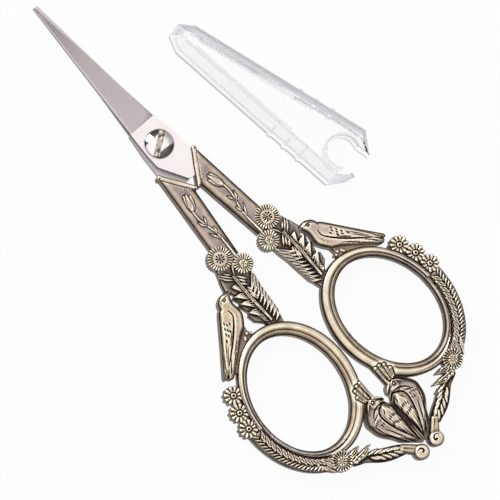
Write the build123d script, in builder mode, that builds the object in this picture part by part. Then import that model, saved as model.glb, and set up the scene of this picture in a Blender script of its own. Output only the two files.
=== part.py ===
from build123d import *

import math
import os

# Embroidery scissors with bird and flower handles, lying closed, and their clear blade cover beside
# them. Millimetres. The origin is on the pivot axis, on the plane where the two blades meet. The
# blades point along +Y, the right handle lies on +X and +Z is up. Both halves are one casting: the
# left half is the right half turned over about the Y axis, with the same relief on both faces.

# Blades
blade_reach = 39.5  # from the pivot axis to the tips
blade_thickness = 1.5
blade_clearance = 0.02  # from the meeting plane to each blade
shoulder_reach = 5.45  # from the pivot axis to the shoulder where the grinding starts
shoulder_overlap = 0.5  # that the ground blade runs on inside the cheek
shoulder_spine = 3.25  # from the Y axis to the spine at the shoulder
shoulder_edge = 3.55  # from the Y axis to the cutting edge at the shoulder
land_width = 0.55  # of the flat along the spine that the grinding leaves
edge_thickness = 0.25
tip_offset = 0.4  # of each tip from the Y axis
tip_width = 0.5
tip_thickness = 0.9
tip_land_share = 0.33  # of the tip's width
cheek_spine = 3.6  # from the Y axis to the spine beside the pivot
cheek_edge = 4.3  # from the Y axis to the other side beside the pivot
cheek_drop = 3.6  # from the pivot axis down to where the spine turns in
cheek_heel = 9.9  # from the pivot axis down to the heel on the Y axis
cheek_rounding = 2.0
heel_share = 0.7  # of the collar's length, from its outer end to the heel
tang_length = 9.0
tang_width = 2.4
tang_thickness = 1.0

# Pivot screw
screw_radius = 1.5
screw_running_clearance = 0.05
head_radius = 3.25
head_rim = 0.35
head_height = 1.25
dome_top_share = 0.45
slot_width = 1.2
slot_depth = 0.6
slot_turn = 35

# Handles
handle_thickness = 4.4
face_drop = 0.3  # of the plain faces below the highest relief
web_face = 1.2  # from the middle plane to the face of the thin webs
halves_gap = 0.3  # between the two crested birds when closed

# Collar
collar_outer = (4.95, -5.6)
collar_inner = (0.55, -12.2)
collar_width = 0.8

# Shank, with a bud and its stem in relief
shank_width = 4.7
shank_foot = 28.6  # from the pivot axis down to the foot of the shank
shank_spread = 2.95  # from the Y axis to the inner side of the shank at its foot
shank_chamfer = 0.95
bud_share = 0.3  # down the shank to where the bud's three petals meet
bud_length = 2.6
bud_width = 0.65
bud_spread = 24
stem_width = 0.55
stem_bend_share = 0.3  # from the bud to the outer corner of the foot
stem_dip_share = 0.75  # from the bud to the foot of the stem
stem_foot_share = 0.22  # across the foot of the shank

# Finger rings
ring_bore_width = 20.0
ring_bore_length = 26.6
ring_tilt = 8
ring_drop = 59.35  # from the pivot axis down to the centre of the bore
ring_gap = 0.9  # between the two rings when closed
ring_band_inner = 3.0  # beside the Y axis
ring_band_outer = 1.9  # under the garland
ring_band_end = 2.65
ring_chamfer = 0.85
oval_sides = 40
curve_steps = 2  # between two places of a bird's outline

# Flowers
large_daisy_radius = 2.85
large_daisy_place = (6.9, -26.95)
large_daisy_petals = 20
small_daisy_radius = 2.35
small_daisy_place = (3.75, -30.95)
small_daisy_petals = 18
tail_daisy_radius = 2.4
tail_daisy_turn = -85.5
tail_daisy_out = 1.3
tail_daisy_petals = 18
daisy_notch_share = 0.9
blossom_radius = 2.2
blossom_petals = 8
blossom_notch_share = 0.85
blossom_turns = (25.0, 11.75, -1.25)
blossom_out = 1.45
petal_chamfer_share = 0.1
dish_share = 0.45
dish_sides = 6
dish_depth = 0.3
heart_share = 0.24
leaf_chamfer_share = 0.27

# Frond
frond_root_turn = 106  # round the ring to where the midrib grows from it
frond_width = 6.8
frond_head_share = 0.35  # of the large daisy's radius, from its centre to where the midrib points
midrib_width = 0.5
leaflets = 5
leaflet_length = 3.5
leaflet_width = 1.5
leaflet_spread = 42
leaflet_row_shares = ((-1, 0.12, 0.53, 0.03), (1, 0.0, 0.5, 0.18))  # side, first, last, out from the midrib

# Birds
songbird_length = 18.8
songbird_turn = 77.25  # round the ring to the feet
songbird_stand = 0.55  # of the bird's middle out from the ring
songbird_lean = -52.8
crested_length = 14.9  # from the crown of the head to the tip of the tail
crested_drop = 70.3  # from the pivot axis down to the crown of the head
bird_along_share = 0.95
bird_across_share = 0.82
quill_width = 0.75

# Garland
garland_band = 2.4
garland_turns = (-10, -82)
garland_leaves = 6
garland_leaf_length = 4.3
garland_leaf_width = 1.9
garland_first_share = 0.3  # of the leaves' pitch, before the first leaf
garland_row_shares = ((0.25, -12), (0.66, 16))  # out on the band, with the turn of the leaves

# Scroll and spray
scroll_radius = 1.75
scroll_inset = 0.25
scroll_hang = 1.1
scroll_crown_share = 0.8
scroll_stem_turn = 52.6
scroll_stem_length = 4.2
scroll_stem_root = 2.8
scroll_stem_tip = 1.9
scroll_sides = 16
eye_share = 0.3
spray_turn = -146  # from the tail daisy's centre to the start of the spray
spray_start_share = 1.3  # of the daisy's radius
spray_width = 2.6
spray_rows_share = 0.2  # of the width, from the middle to each row of leaves
spray_leaves = 3
spray_leaf_length = 3.6
spray_leaf_width = 1.3
spray_spread = 10
free_leaves = ((178, 3.2), (189, 5.4))  # turn about the tail daisy, with the length

# Blade cover
cover_length = 50.2
cover_mouth_width = 15.0
cover_end_width = 7.3
cover_end_corner = 3.3  # along the cover, from its closed end to its full width
cover_mouth_corner = 4.0
corner_share = 0.45
cover_height = 5.0
cover_rim = 1.6  # height of the upright part of the sides
cover_slope = 2.3  # that the sides draw in above the rim
cover_wall = 0.8
cover_notch_radius = 3.5
cover_notch_sides = 24
cover_notch_throat = 5.8
cover_notch_set = 5.4  # from the mouth to the middle of the keyhole
cover_grips = 3
cover_grip_reach = 29.5  # from the closed end to the first grip
cover_grip_pitch = 4.0
cover_grip_width = 0.9
cover_grip_rise = 0.3
cover_turn = 11.97
cover_end_place = (19.6, 16.5)

# Outlines of the birds, in shares of their length: each run starts where the one before it ends
songbird_shares = [
    [(-0.537, 0.137), (-0.511, 0.197)],
    [(-0.511, 0.197), (-0.476, 0.266), (-0.391, 0.306), (-0.314, 0.290)],
    [(-0.314, 0.290), (-0.253, 0.306), (0.106, 0.309), (0.465, 0.316)],
    [(0.465, 0.316), (0.479, 0.210)],
    [(0.479, 0.210), (0.410, 0.178), (0.010, 0.075)],
    [(0.010, 0.075), (-0.096, 0.027)],
    [(-0.096, 0.027), (-0.202, 0.027), (-0.285, 0.048), (-0.388, 0.136), (-0.470, 0.163)],
    [(-0.470, 0.163), (-0.537, 0.137)],
]
songbird_wing_shares = [
    [(-0.298, 0.206), (-0.280, 0.265), (-0.207, 0.290)],
    [(-0.207, 0.290), (0.056, 0.285), (0.287, 0.237)],
    [(0.287, 0.237), (0.017, 0.181), (-0.218, 0.152)],
    [(-0.218, 0.152), (-0.298, 0.206)],
]
songbird_centre_share = (-0.05, 0.2)
songbird_web_shares = [(-0.10, 0.05), (0.02, 0.10), (0.42, 0.20), (0.40, 0.10), (0.0, -0.07)]
crested_shares = [
    [(0.148, -0.171), (0.060, -0.121), (0.0, 0.0), (0.034, 0.128)],
    [(0.034, 0.128), (0.128, 0.201), (0.262, 0.275), (0.362, 0.275), (0.517, 0.235), (0.664, 0.128), (0.779, 0.060)],
    [(0.779, 0.060), (0.993, -0.185)],
    [(0.993, -0.185), (0.940, -0.198)],
    [(0.940, -0.198), (0.262, -0.198)],
    [(0.262, -0.198), (0.181, -0.148)],
    [(0.181, -0.148), (0.148, -0.171)],
]
crested_wing_shares = [
    [(0.302, -0.185), (0.181, -0.081), (0.262, 0.020), (0.383, 0.034)],
    [(0.383, 0.034), (0.550, 0.007), (0.752, -0.074), (0.940, -0.161)],
    [(0.940, -0.161), (0.302, -0.185)],
]
crested_inset_share = 0.198
crested_centre_share = (0.4, 0.03)
crest_shares = [(0.06, -0.085), (-0.30, -0.09), (-0.30, 0.10), (-0.19, 0.15), (0.05, 0.12)]
quill_outline_shares = [(0, -0.4), (0.85, -0.5), (1, 0), (0.85, 0.5), (0, 0.4)]
quill_shares = [((0.03, -0.045), (-0.255, -0.048)), ((0.03, 0.012), (-0.25, 0.022)), ((0.03, 0.068), (-0.115, 0.08))]

# The frond's blade, in shares of its length and width: up the side by the songbird, down the other
frond_shares = [
    (-0.017, -0.088), (0.092, -0.182), (0.173, -0.379), (0.274, -0.421), (0.301, -0.322), (0.436, -0.426),
    (0.457, -0.324), (0.553, -0.426), (0.562, -0.294), (0.635, -0.346), (0.674, -0.431), (0.780, -0.346),
    (0.913, -0.215), (0.941, 0.125), (0.824, 0.485), (0.640, 0.647), (0.537, 0.596), (0.434, 0.529),
    (0.267, 0.481), (0.100, 0.419), (-0.067, 0.284), (-0.097, 0.137),
]

# The spray's band, in shares of its length and width: from the scroll's stem up to the tail daisy
spray_shares = [
    (-0.06, -0.40), (0.10, -0.52), (0.36, -0.60), (0.66, -0.50), (0.86, -0.38), (1.15, -0.3),
    (1.15, 0.3), (0.86, 0.36), (0.60, 0.48), (0.30, 0.50), (0.10, 0.42), (-0.06, 0.30),
]

# Derived heights and places
half_turn = 180
quarter_turn = 90
face = handle_thickness / 2
plain_face = face - face_drop
flank = plain_face - face_drop
heart_face = face - face_drop / 2
ring_centre_x = ring_gap / 2 + ring_band_inner + ring_bore_width / 2
ring_centre = (ring_centre_x, -ring_drop)
outer_width = ring_band_inner + ring_bore_width + ring_band_outer
outer_length = ring_bore_length + 2 * ring_band_end
outer_centre = (ring_centre_x - (ring_band_inner - ring_band_outer) / 2, -ring_drop)


def seat(place, turn=0):
    """The plane of an ornament that lies on the middle plane of its handle."""
    turn = math.radians(turn)
    return Plane(origin=(place[0], place[1], 0), x_dir=(math.cos(turn), math.sin(turn), 0), z_dir=(0, 0, 1))


def on_oval(centre, width, length, turn, out=0):
    """A place on a tilted oval, or out of it by a distance."""
    turn, tilt = math.radians(turn), math.radians(ring_tilt)
    steepness = math.hypot(math.cos(turn) * 2 / width, math.sin(turn) * 2 / length)
    x = math.cos(turn) * (width / 2 + out * 2 / width / steepness)
    y = math.sin(turn) * (length / 2 + out * 2 / length / steepness)
    return (centre[0] + x * math.cos(tilt) - y * math.sin(tilt), centre[1] + x * math.sin(tilt) + y * math.cos(tilt))


def on_ring(turn, out=0):
    """A place on the outer edge of the finger ring, or out of it by a distance."""
    return on_oval(outer_centre, outer_width, outer_length, turn, out)


def oval(centre, width, length, out=0):
    """The outline of a tilted oval, or of one that runs outside it at a distance."""
    full_turn = 2 * half_turn
    return [on_oval(centre, width, length, full_turn * side / oval_sides, out) for side in range(oval_sides)]


def crown(plane, draw, waist, crest, along, across):
    """One relief form, full at its waist and drawn in to shares of its size at both faces."""
    sections = []
    for height, x_share, y_share in ((-crest, along, across), (-waist, 1, 1), (waist, 1, 1), (crest, along, across)):
        with BuildSketch(plane.offset(height)) as section:
            draw(x_share, y_share)
        sections.append(section.sketch)
    loft(sections, ruled=True)


def petals_outline(radius, petals, notch_share):
    """The outline of a flower: each petal rises from a notch to its tip."""
    points = []
    for petal in range(petals):
        for step_share, reach_share in ((0, notch_share), (1 / 2, 1)):
            angle = 2 * math.pi * (petal + step_share) / petals
            points.append((radius * reach_share * math.cos(angle), radius * reach_share * math.sin(angle)))
    return points


def scaled(points, along, across=None, centre=(0, 0)):
    """Points stretched about a centre along X and across it."""
    across = along if across is None else across
    return [(centre[0] + (x - centre[0]) * along, centre[1] + (y - centre[1]) * across) for x, y in points]


def both_faces(plane, draw, low, high, mode=Mode.ADD):
    """The same raised or sunk form on both faces, between two heights from the middle plane."""
    for side in (1, -1):
        with BuildSketch(plane.offset(side * low)) as section:
            draw()
        extrude(section.sketch, amount=side * (high - low), mode=mode)


def flower(place, radius, petals, notch_share):
    """A flower with a petalled edge, a dished middle and a raised heart, alike on both faces."""
    with BuildPart() as form:
        with BuildSketch(Plane.XY.offset(-face)):
            Polygon(*petals_outline(radius, petals, notch_share))
        extrude(amount=handle_thickness)
        chamfer(form.faces().filter_by(Axis.Z).edges(), length=radius * petal_chamfer_share)
        dish_face = face - dish_depth
        both_faces(Plane.XY, lambda: RegularPolygon(radius * dish_share, dish_sides), dish_face, face, Mode.SUBTRACT)
        both_faces(Plane.XY, lambda: RegularPolygon(radius * heart_share, dish_sides), flank, heart_face)
    with Locations((*place, 0)):
        add(form.part)


def room_for_flower(place, radius, petals):
    """Takes away what stands where a flower is set in, out to the tips of its petals."""
    with BuildSketch(seat(place).offset(-face)) as room:
        RegularPolygon(radius, petals, rotation=half_turn / petals)
    extrude(room.sketch, amount=handle_thickness, mode=Mode.SUBTRACT)


def room_for_ring():
    """Takes away what stands inside the finger ring's outer oval."""
    with BuildSketch(Plane.XY.offset(-face)) as room:
        Polygon(*oval(outer_centre, outer_width, outer_length))
    extrude(room.sketch, amount=handle_thickness, mode=Mode.SUBTRACT)


def room_for(*others):
    """Takes away what stands where the neighbouring forms are, so that they meet face to face."""
    for other in others:
        add(other.part, mode=Mode.SUBTRACT)


def leaf(place, turn, length, width):
    """A pointed leaf that rises to both faces from its stalk at a place."""
    with BuildPart() as form:
        with BuildSketch(Plane.XY.offset(-face)):
            Polygon((0, 0), (length / 2, -width / 2), (length, 0), (length / 2, width / 2))
        extrude(amount=handle_thickness)
        chamfer(form.faces().filter_by(Axis.Z).edges(), length=width * leaf_chamfer_share)
    with Locations(Location((*place, 0), turn)):
        add(form.part)


def outline(runs, size):
    """Places round a closed outline, smooth along each run of more than two places. A run starts where
    the one before it ends, and its last place is left to the next run."""
    places = []
    for run in runs:
        steps = curve_steps if len(run) > 2 else 1
        ends = [run[0]] + run + [run[-1]]
        for before, start, end, after in zip(ends, ends[1:], ends[2:], ends[3:]):
            for step in range(steps):
                t = step / steps
                places.append(tuple(
                    size * (b + (c - a) * t / 2 + (2 * a - 5 * b + 4 * c - d) * t**2 / 2
                            + (3 * b - a - 3 * c + d) * t**3 / 2)
                    for a, b, c, d in zip(before, start, end, after)
                ))
    return places


def bird_body(plane, length, shares, centre_share):
    """A bird's body: a smooth outline drawn in to both faces."""
    places = outline(shares, length)
    centre = (centre_share[0] * length, centre_share[1] * length)
    draw = lambda x, y: Polygon(*scaled(places, x, y, centre))
    crown(plane, draw, web_face, plain_face, bird_along_share, bird_across_share)


def bird_wing(plane, length, shares):
    """The folded wing that stands up from the body on both faces."""
    both_faces(plane, lambda: Polygon(*outline(shares, length)), web_face, face)


def between(start, end, share):
    """A place on the way from one place to another."""
    return (start[0] + (end[0] - start[0]) * share, start[1] + (end[1] - start[1]) * share)


def heading(start, end):
    """The turn that points from one place to another."""
    return math.degrees(math.atan2(end[1] - start[1], end[0] - start[0]))


def moved(place, turn, distance):
    """A place moved by a distance along a turn."""
    angle = math.radians(turn)
    return (place[0] + distance * math.cos(angle), place[1] + distance * math.sin(angle))


os.makedirs("parts", exist_ok=True)

# Blade: a flat cheek round the pivot, a tang behind it and a tapered blade ground on its outer face
collar_turn = heading(collar_inner, collar_outer)
collar_front_outer = moved(collar_outer, collar_turn + quarter_turn, collar_width / 2)
collar_front_inner = moved(collar_inner, collar_turn + quarter_turn, collar_width / 2)
collar_back_outer = moved(collar_outer, collar_turn - quarter_turn, collar_width / 2)
collar_back_inner = moved(collar_inner, collar_turn - quarter_turn, collar_width / 2)
foot_inner = (shank_spread, -shank_foot)
foot_outer = (shank_spread + shank_width, -shank_foot)
tang_start = between(collar_front_inner, collar_front_outer, 1 / 2)
tang_turn = heading(tang_start, between(foot_inner, foot_outer, 1 / 2))


def blade_section(reach, spine, edge, depth, land):
    """The ground blade's section: flat inside, with a land along the spine and a bevel to the edge."""
    with BuildSketch(Plane.XZ.offset(-reach)) as section:
        Polygon(
            (spine, blade_clearance),
            (edge, blade_clearance),
            (edge, blade_clearance + edge_thickness),
            (spine + land, depth),
            (spine, depth),
        )
    return section.sketch


with BuildPart() as blade_blank:
    with BuildSketch(Plane.XY.offset(blade_clearance)):
        Polygon(
            (-shoulder_spine, shoulder_reach),
            (shoulder_edge, shoulder_reach),
            (cheek_edge, 0),
            collar_front_outer,
            between(collar_front_outer, collar_front_inner, heel_share),
            (0, -cheek_heel),
            (-cheek_spine, -cheek_drop),
            (-cheek_spine, 0),
        )
    extrude(amount=blade_thickness - blade_clearance)
    turned_in = blade_blank.edges().filter_by(Axis.Z).group_by(Axis.X)[0].sort_by(Axis.Y)[0]
    fillet(turned_in, radius=cheek_rounding)
    with BuildSketch(seat(tang_start, tang_turn).offset(blade_clearance)):
        Rectangle(tang_length + tang_width, tang_width, align=(Align.MIN, Align.CENTER))
        with Locations((-tang_width / 2, 0)):
            Rectangle(tang_width, tang_width)
    extrude(amount=tang_thickness)
    shoulder = blade_section(
        shoulder_reach - shoulder_overlap, -shoulder_spine, shoulder_edge, blade_thickness, land_width
    )
    tip_spine, tip_edge = -tip_offset - tip_width / 2, -tip_offset + tip_width / 2
    tip = blade_section(blade_reach, tip_spine, tip_edge, tip_thickness, tip_width * tip_land_share)
    loft([shoulder, tip], ruled=True)

with BuildPart() as top_blade:
    add(blade_blank.part)
    with BuildSketch(Plane.XY):
        Circle(screw_radius + screw_running_clearance)
    extrude(amount=blade_thickness, mode=Mode.SUBTRACT)

# Pivot screw: a slotted domed head above the top blade, its shank through to the bottom blade
head_seat = blade_thickness + screw_running_clearance
with BuildPart() as pivot_screw:
    with BuildSketch(Plane.XZ):
        with BuildLine():
            Line((0, -blade_thickness), (screw_radius, -blade_thickness))
            Line((screw_radius, -blade_thickness), (screw_radius, head_seat))
            Line((screw_radius, head_seat), (head_radius, head_seat))
            Line((head_radius, head_seat), (head_radius, head_seat + head_rim))
            Line((head_radius, head_seat + head_rim), (head_radius * dome_top_share, head_seat + head_height))
            Line((head_radius * dome_top_share, head_seat + head_height), (0, head_seat + head_height))
            Line((0, head_seat + head_height), (0, -blade_thickness))
        make_face()
    revolve(axis=Axis.Z)
    with BuildSketch(Plane.XY.offset(head_seat + head_height - slot_depth)):
        Rectangle(head_radius * 2 + head_rim, slot_width, rotation=slot_turn)
    extrude(amount=head_height, mode=Mode.SUBTRACT)

# The bottom blade is the same blade turned over, threaded on the screw
with BuildPart() as bottom_blade:
    add(blade_blank.part, rotation=(0, half_turn, 0))
    add(pivot_screw.part, mode=Mode.SUBTRACT)

# Collar: the raised ring that ends the casting where the tang goes in
with BuildPart() as collar:
    with BuildSketch(seat(between(collar_inner, collar_outer, 1 / 2), collar_turn).offset(-face)):
        Rectangle(math.dist(collar_inner, collar_outer) + collar_width / 2, collar_width)
    extrude(amount=handle_thickness)
    chamfer(collar.edges().filter_by(Axis.Z, reverse=True), length=collar_width / 4)
    room_for(blade_blank)

# Large daisy on the foot of the shank, and the small daisy that hangs beside it
with BuildPart() as large_daisy:
    flower(large_daisy_place, large_daisy_radius, large_daisy_petals, daisy_notch_share)

with BuildPart() as small_daisy:
    flower(small_daisy_place, small_daisy_radius, small_daisy_petals, daisy_notch_share)
    room_for_flower(large_daisy_place, large_daisy_radius, large_daisy_petals)

# Shank: a bar with drawn-in sides, a bud and its stem in relief
with BuildPart() as shank:
    with BuildSketch(Plane.XY.offset(-plain_face)):
        Polygon(collar_back_outer, collar_back_inner, foot_inner, foot_outer)
    extrude(amount=2 * plain_face)
    long_edges = shank.edges().filter_by(GeomType.LINE).filter_by(Axis.Z, reverse=True)
    chamfer(long_edges.filter_by(lambda edge: edge.length > shank_width * 2), length=shank_chamfer)
    collar_middle = between(collar_back_inner, collar_back_outer, 1 / 2)
    bud_foot = between(collar_middle, between(foot_inner, foot_outer, 1 / 2), bud_share)
    stem_foot = between(foot_inner, foot_outer, stem_foot_share)
    stem_bend = between(bud_foot, foot_outer, stem_bend_share)
    stem_dip = between(bud_foot, stem_foot, stem_dip_share)

    def stem_shape():
        with BuildLine() as line:
            Polyline(bud_foot, stem_bend, stem_dip, stem_foot)
        trace(line.edges(), line_width=stem_width)

    both_faces(Plane.XY, stem_shape, flank, heart_face)
    for spread in (-bud_spread, 0, bud_spread):
        leaf(bud_foot, tang_turn + half_turn + spread, bud_length, bud_width)
    room_for_flower(large_daisy_place, large_daisy_radius, large_daisy_petals)
    room_for_flower(small_daisy_place, small_daisy_radius, small_daisy_petals)
    room_for(blade_blank)

# Finger ring: an oval band, widest beside the other handle, with chamfered sides
tail_daisy_place = on_ring(tail_daisy_turn, tail_daisy_out)

with BuildPart() as finger_ring:
    with BuildSketch(Plane.XY.offset(-face)):
        Polygon(*oval(outer_centre, outer_width, outer_length))
        Polygon(*oval(ring_centre, ring_bore_width, ring_bore_length), mode=Mode.SUBTRACT)
    extrude(amount=handle_thickness)
    chamfer(finger_ring.faces().filter_by(Axis.Z).edges(), length=ring_chamfer)
    room_for_flower(tail_daisy_place, tail_daisy_radius, tail_daisy_petals)

with BuildPart() as tail_daisy:
    flower(tail_daisy_place, tail_daisy_radius, tail_daisy_petals, daisy_notch_share)

# Songbird that stands on the ring, its tail along the band
songbird_plane = seat(on_ring(songbird_turn, songbird_stand), songbird_lean)
with BuildPart() as songbird:
    bird_body(songbird_plane, songbird_length, songbird_shares, songbird_centre_share)
    bird_wing(songbird_plane, songbird_length, songbird_wing_shares)
    with BuildSketch(songbird_plane.offset(-web_face)):
        Polygon(*scaled(songbird_web_shares, songbird_length))
    extrude(amount=2 * web_face)
    room_for_ring()

# Frond: a feather that grows from the ring up under the daisies, its leaflets along a midrib
frond_foot = on_ring(frond_root_turn, -ring_chamfer / 2)
frond_head = moved(large_daisy_place, 0, large_daisy_radius * frond_head_share)
frond_length = math.dist(frond_foot, frond_head)
frond_turn = heading(frond_foot, frond_head)
frond_plane = seat(frond_foot, frond_turn)
with BuildPart() as frond:
    with BuildSketch(frond_plane.offset(-flank)):
        Polygon(*[(x * frond_length, y * frond_width) for x, y in frond_shares])
    extrude(amount=2 * flank)
    both_faces(
        frond_plane,
        lambda: Rectangle(frond_length, midrib_width, align=(Align.MIN, Align.CENTER)),
        flank - face_drop,
        face,
    )
    for side, first_share, last_share, root_share in leaflet_row_shares:
        for step in range(leaflets):
            share = first_share + (last_share - first_share) * step / (leaflets - 1)
            rib = moved(frond_foot, frond_turn, frond_length * share)
            root = moved(rib, frond_turn + side * quarter_turn, frond_width * root_share)
            leaf(root, frond_turn + side * leaflet_spread, leaflet_length, leaflet_width)
    room_for_flower(large_daisy_place, large_daisy_radius, large_daisy_petals)
    room_for_flower(small_daisy_place, small_daisy_radius, small_daisy_petals)
    room_for_ring()
    room_for(shank, songbird)

# Blossoms: three flowers on the shoulder of the ring
with BuildPart() as blossoms:
    for turn in blossom_turns:
        flower(on_ring(turn, blossom_out), blossom_radius, blossom_petals, blossom_notch_share)
    room_for_ring()

# Garland: two rows of leaves on a band round the outside of the ring
with BuildPart() as garland:
    with BuildSketch(Plane.XY.offset(-flank)):
        Polygon(*oval(outer_centre, outer_width, outer_length, garland_band))
        far = outer_length
        Polygon(
            outer_centre,
            on_ring(garland_turns[1], far),
            on_ring((garland_turns[0] + garland_turns[1]) / 2, far),
            on_ring(garland_turns[0], far),
            mode=Mode.INTERSECT,
        )
    extrude(amount=2 * flank)
    for row_share, row_spread in garland_row_shares:
        for step in range(garland_leaves):
            turn_share = (step + garland_first_share) / garland_leaves
            turn = garland_turns[1] + (garland_turns[0] - garland_turns[1]) * turn_share
            along = heading(on_ring(turn), on_ring(turn + 1))
            leaf(on_ring(turn, garland_band * row_share), along - row_spread, garland_leaf_length, garland_leaf_width)
    room_for_ring()
    room_for(blossoms)
    room_for_flower(tail_daisy_place, tail_daisy_radius, tail_daisy_petals)

# Crested bird in the lower corner of the ring, its straight side beside the other handle's bird
crested_plane = seat((halves_gap / 2 + crested_length * crested_inset_share, -crested_drop), -quarter_turn)
with BuildPart() as crested_bird:
    bird_body(crested_plane, crested_length, crested_shares, crested_centre_share)
    bird_wing(crested_plane, crested_length, crested_wing_shares)
    room_for_ring()

# Crest: three quills on a web between the bird's head and the ring
with BuildPart() as crest:
    with BuildSketch(crested_plane.offset(-web_face)):
        Polygon(*scaled(crest_shares, crested_length))
    extrude(amount=2 * web_face)
    for foot_share, tip_share in quill_shares:
        foot = (foot_share[0] * crested_length, foot_share[1] * crested_length)
        tip = (tip_share[0] * crested_length, tip_share[1] * crested_length)

        def quill_shape():
            with Locations(Location(foot, heading(foot, tip))):
                Polygon(*[(math.dist(foot, tip) * x, quill_width * y) for x, y in quill_outline_shares])

        both_faces(crested_plane, quill_shape, web_face, face)
    room_for_ring()
    room_for(crested_bird)

# Scroll: the curl that ends the casting under the bird's tail, on a stem that rises to the spray
scroll_place = (halves_gap / 2 + scroll_inset + scroll_radius, -crested_drop - crested_length - scroll_hang)
stem_end = moved(scroll_place, scroll_stem_turn, scroll_stem_length)
with BuildPart() as scroll:
    scroll_plane = seat(scroll_place, scroll_stem_turn)
    scroll_form = lambda x, y: RegularPolygon(scroll_radius * x, scroll_sides)
    crown(scroll_plane, scroll_form, flank, face, scroll_crown_share, scroll_crown_share)
    both_faces(scroll_plane, lambda: RegularPolygon(scroll_radius * eye_share, dish_sides), flank, face, Mode.SUBTRACT)
    with BuildSketch(scroll_plane.offset(-plain_face)):
        Polygon(
            (0, scroll_stem_root / 2),
            (0, -scroll_stem_root / 2),
            (scroll_stem_length, -scroll_stem_tip / 2),
            (scroll_stem_length, scroll_stem_tip / 2),
        )
    extrude(amount=2 * plain_face)
    room_for(crested_bird)

# Spray: leaves from under the tail daisy down to the scroll
spray_start = moved(tail_daisy_place, spray_turn, tail_daisy_radius * spray_start_share)
spray_length = math.dist(stem_end, spray_start)
spray_heading = heading(stem_end, spray_start)
with BuildPart() as spray:
    with BuildSketch(seat(stem_end, spray_heading).offset(-flank)):
        Polygon(*[(x * spray_length, y * spray_width) for x, y in spray_shares])
    extrude(amount=2 * flank)
    for step in range(spray_leaves):
        for side in (1, -1):
            along = moved(spray_start, spray_heading + half_turn, spray_length * step / spray_leaves)
            root = moved(along, spray_heading + quarter_turn, side * spray_width * spray_rows_share)
            leaf(root, spray_heading + half_turn - side * spray_spread, spray_leaf_length, spray_leaf_width)
    for leaf_turn, leaf_length in free_leaves:
        leaf(tail_daisy_place, leaf_turn, tail_daisy_radius + leaf_length, spray_leaf_width)
    room_for_ring()
    room_for(crested_bird, scroll, garland)
    room_for_flower(tail_daisy_place, tail_daisy_radius, tail_daisy_petals)

# Blade cover: a tapered sheath with sloping sides, closed at its narrow end, with a keyhole for the
# screw at its mouth and grip steps along both sides
cover_plane = seat(cover_end_place, cover_turn - quarter_turn)


def cover_outline(inset, end_inset, mouth_out):
    """The sheath seen from above, its sides drawn in by an inset, from its closed end to its mouth."""
    end_half, mouth_half = cover_end_width / 2 - inset, cover_mouth_width / 2 - inset
    side = [
        (end_inset, end_half * corner_share),
        (cover_end_corner + end_inset / 2, end_half),
        (cover_length - cover_mouth_corner, mouth_half),
        (cover_length + mouth_out, mouth_half * corner_share),
    ]
    return side + [(x, -y) for x, y in reversed(side)]


def cover_shell(wall, mouth_out, mode):
    """The sheath's outer or inner form: upright below, then sloping in to the top panel."""
    levels = ((wall, wall), (cover_rim, wall), (cover_height - wall, wall + cover_slope))
    for (low, low_inset), (high, high_inset) in zip(levels, levels[1:]):
        sections = []
        for height, inset in ((low, low_inset), (high, high_inset)):
            with BuildSketch(cover_plane.offset(height - face)) as section:
                Polygon(*cover_outline(inset, inset, mouth_out))
            sections.append(section.sketch)
        loft(sections, ruled=True, mode=mode)


def grip_ridge(reach):
    """A low ridge over both sides of the sheath, for the fingers that pull it off."""
    grow_share = (reach - cover_end_corner) / (cover_length - cover_mouth_corner - cover_end_corner)
    half = (cover_end_width + (cover_mouth_width - cover_end_width) * grow_share) / 2 + cover_grip_rise
    place = moved(cover_end_place, cover_turn - quarter_turn, reach)
    across = math.radians(cover_turn)
    plane = Plane(origin=(*place, -face), x_dir=(math.cos(across), math.sin(across), 0), z_dir=cover_plane.x_dir)
    with BuildSketch(plane) as ridge:
        up = -plane.y_dir.Z
        side = [(half, 0), (half, -up * cover_rim), (half - cover_slope, -up * (cover_height - cover_grip_rise))]
        Polygon(*side, *[(-x, y) for x, y in reversed(side)])
    extrude(ridge.sketch, amount=cover_grip_width)


with BuildPart() as blade_cover:
    cover_shell(0, 0, Mode.ADD)
    for grip in range(cover_grips):
        grip_ridge(cover_grip_reach + grip * cover_grip_pitch)
    cover_shell(cover_wall, cover_wall, Mode.SUBTRACT)
    with BuildSketch(cover_plane.offset(-face)):
        with Locations((cover_length - cover_notch_set, 0)):
            RegularPolygon(cover_notch_radius, cover_notch_sides)
        with Locations((cover_length - cover_notch_set / 2, 0)):
            Rectangle(cover_notch_set + cover_wall, cover_notch_throat)
    extrude(amount=cover_height, mode=Mode.SUBTRACT)

# The right handle's forms, and the same forms turned over for the left handle
right_half = {
    "shank": shank,
    "collar": collar,
    "large_daisy": large_daisy,
    "small_daisy": small_daisy,
    "frond": frond,
    "songbird": songbird,
    "finger_ring": finger_ring,
    "blossoms": blossoms,
    "garland": garland,
    "tail_daisy": tail_daisy,
    "spray": spray,
    "crested_bird": crested_bird,
    "crest": crest,
    "scroll": scroll,
}

pieces = {"top_blade": top_blade.part, "pivot_screw": pivot_screw.part, "blade_cover": blade_cover.part}
pieces["bottom_blade"] = bottom_blade.part
for name, form in right_half.items():
    pieces["right_" + name] = form.part
    with BuildPart() as turned_over:
        add(form.part, rotation=(0, half_turn, 0))
    pieces["left_" + name] = turned_over.part

for name, piece in pieces.items():
    piece.label = name
    export_step(piece, f"parts/{name}.step")
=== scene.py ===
# %% [markdown]
# # Embroidery scissors with bird and flower handles
# The scissors lie closed on a white table, with their clear blade cover beside them. The pieces come
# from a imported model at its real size, which is the fixed frame here: nothing in it is moved. This lesson
# carves the relief of the two cast handles over that frame, polishes the blades and the screw, and
# moulds the cover in clear plastic. One unit is a metre, and plan drawings are in millimetres.

# %% The fixed frame
import math

import bpy
import numpy as np
from mathutils import Matrix, Vector


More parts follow.
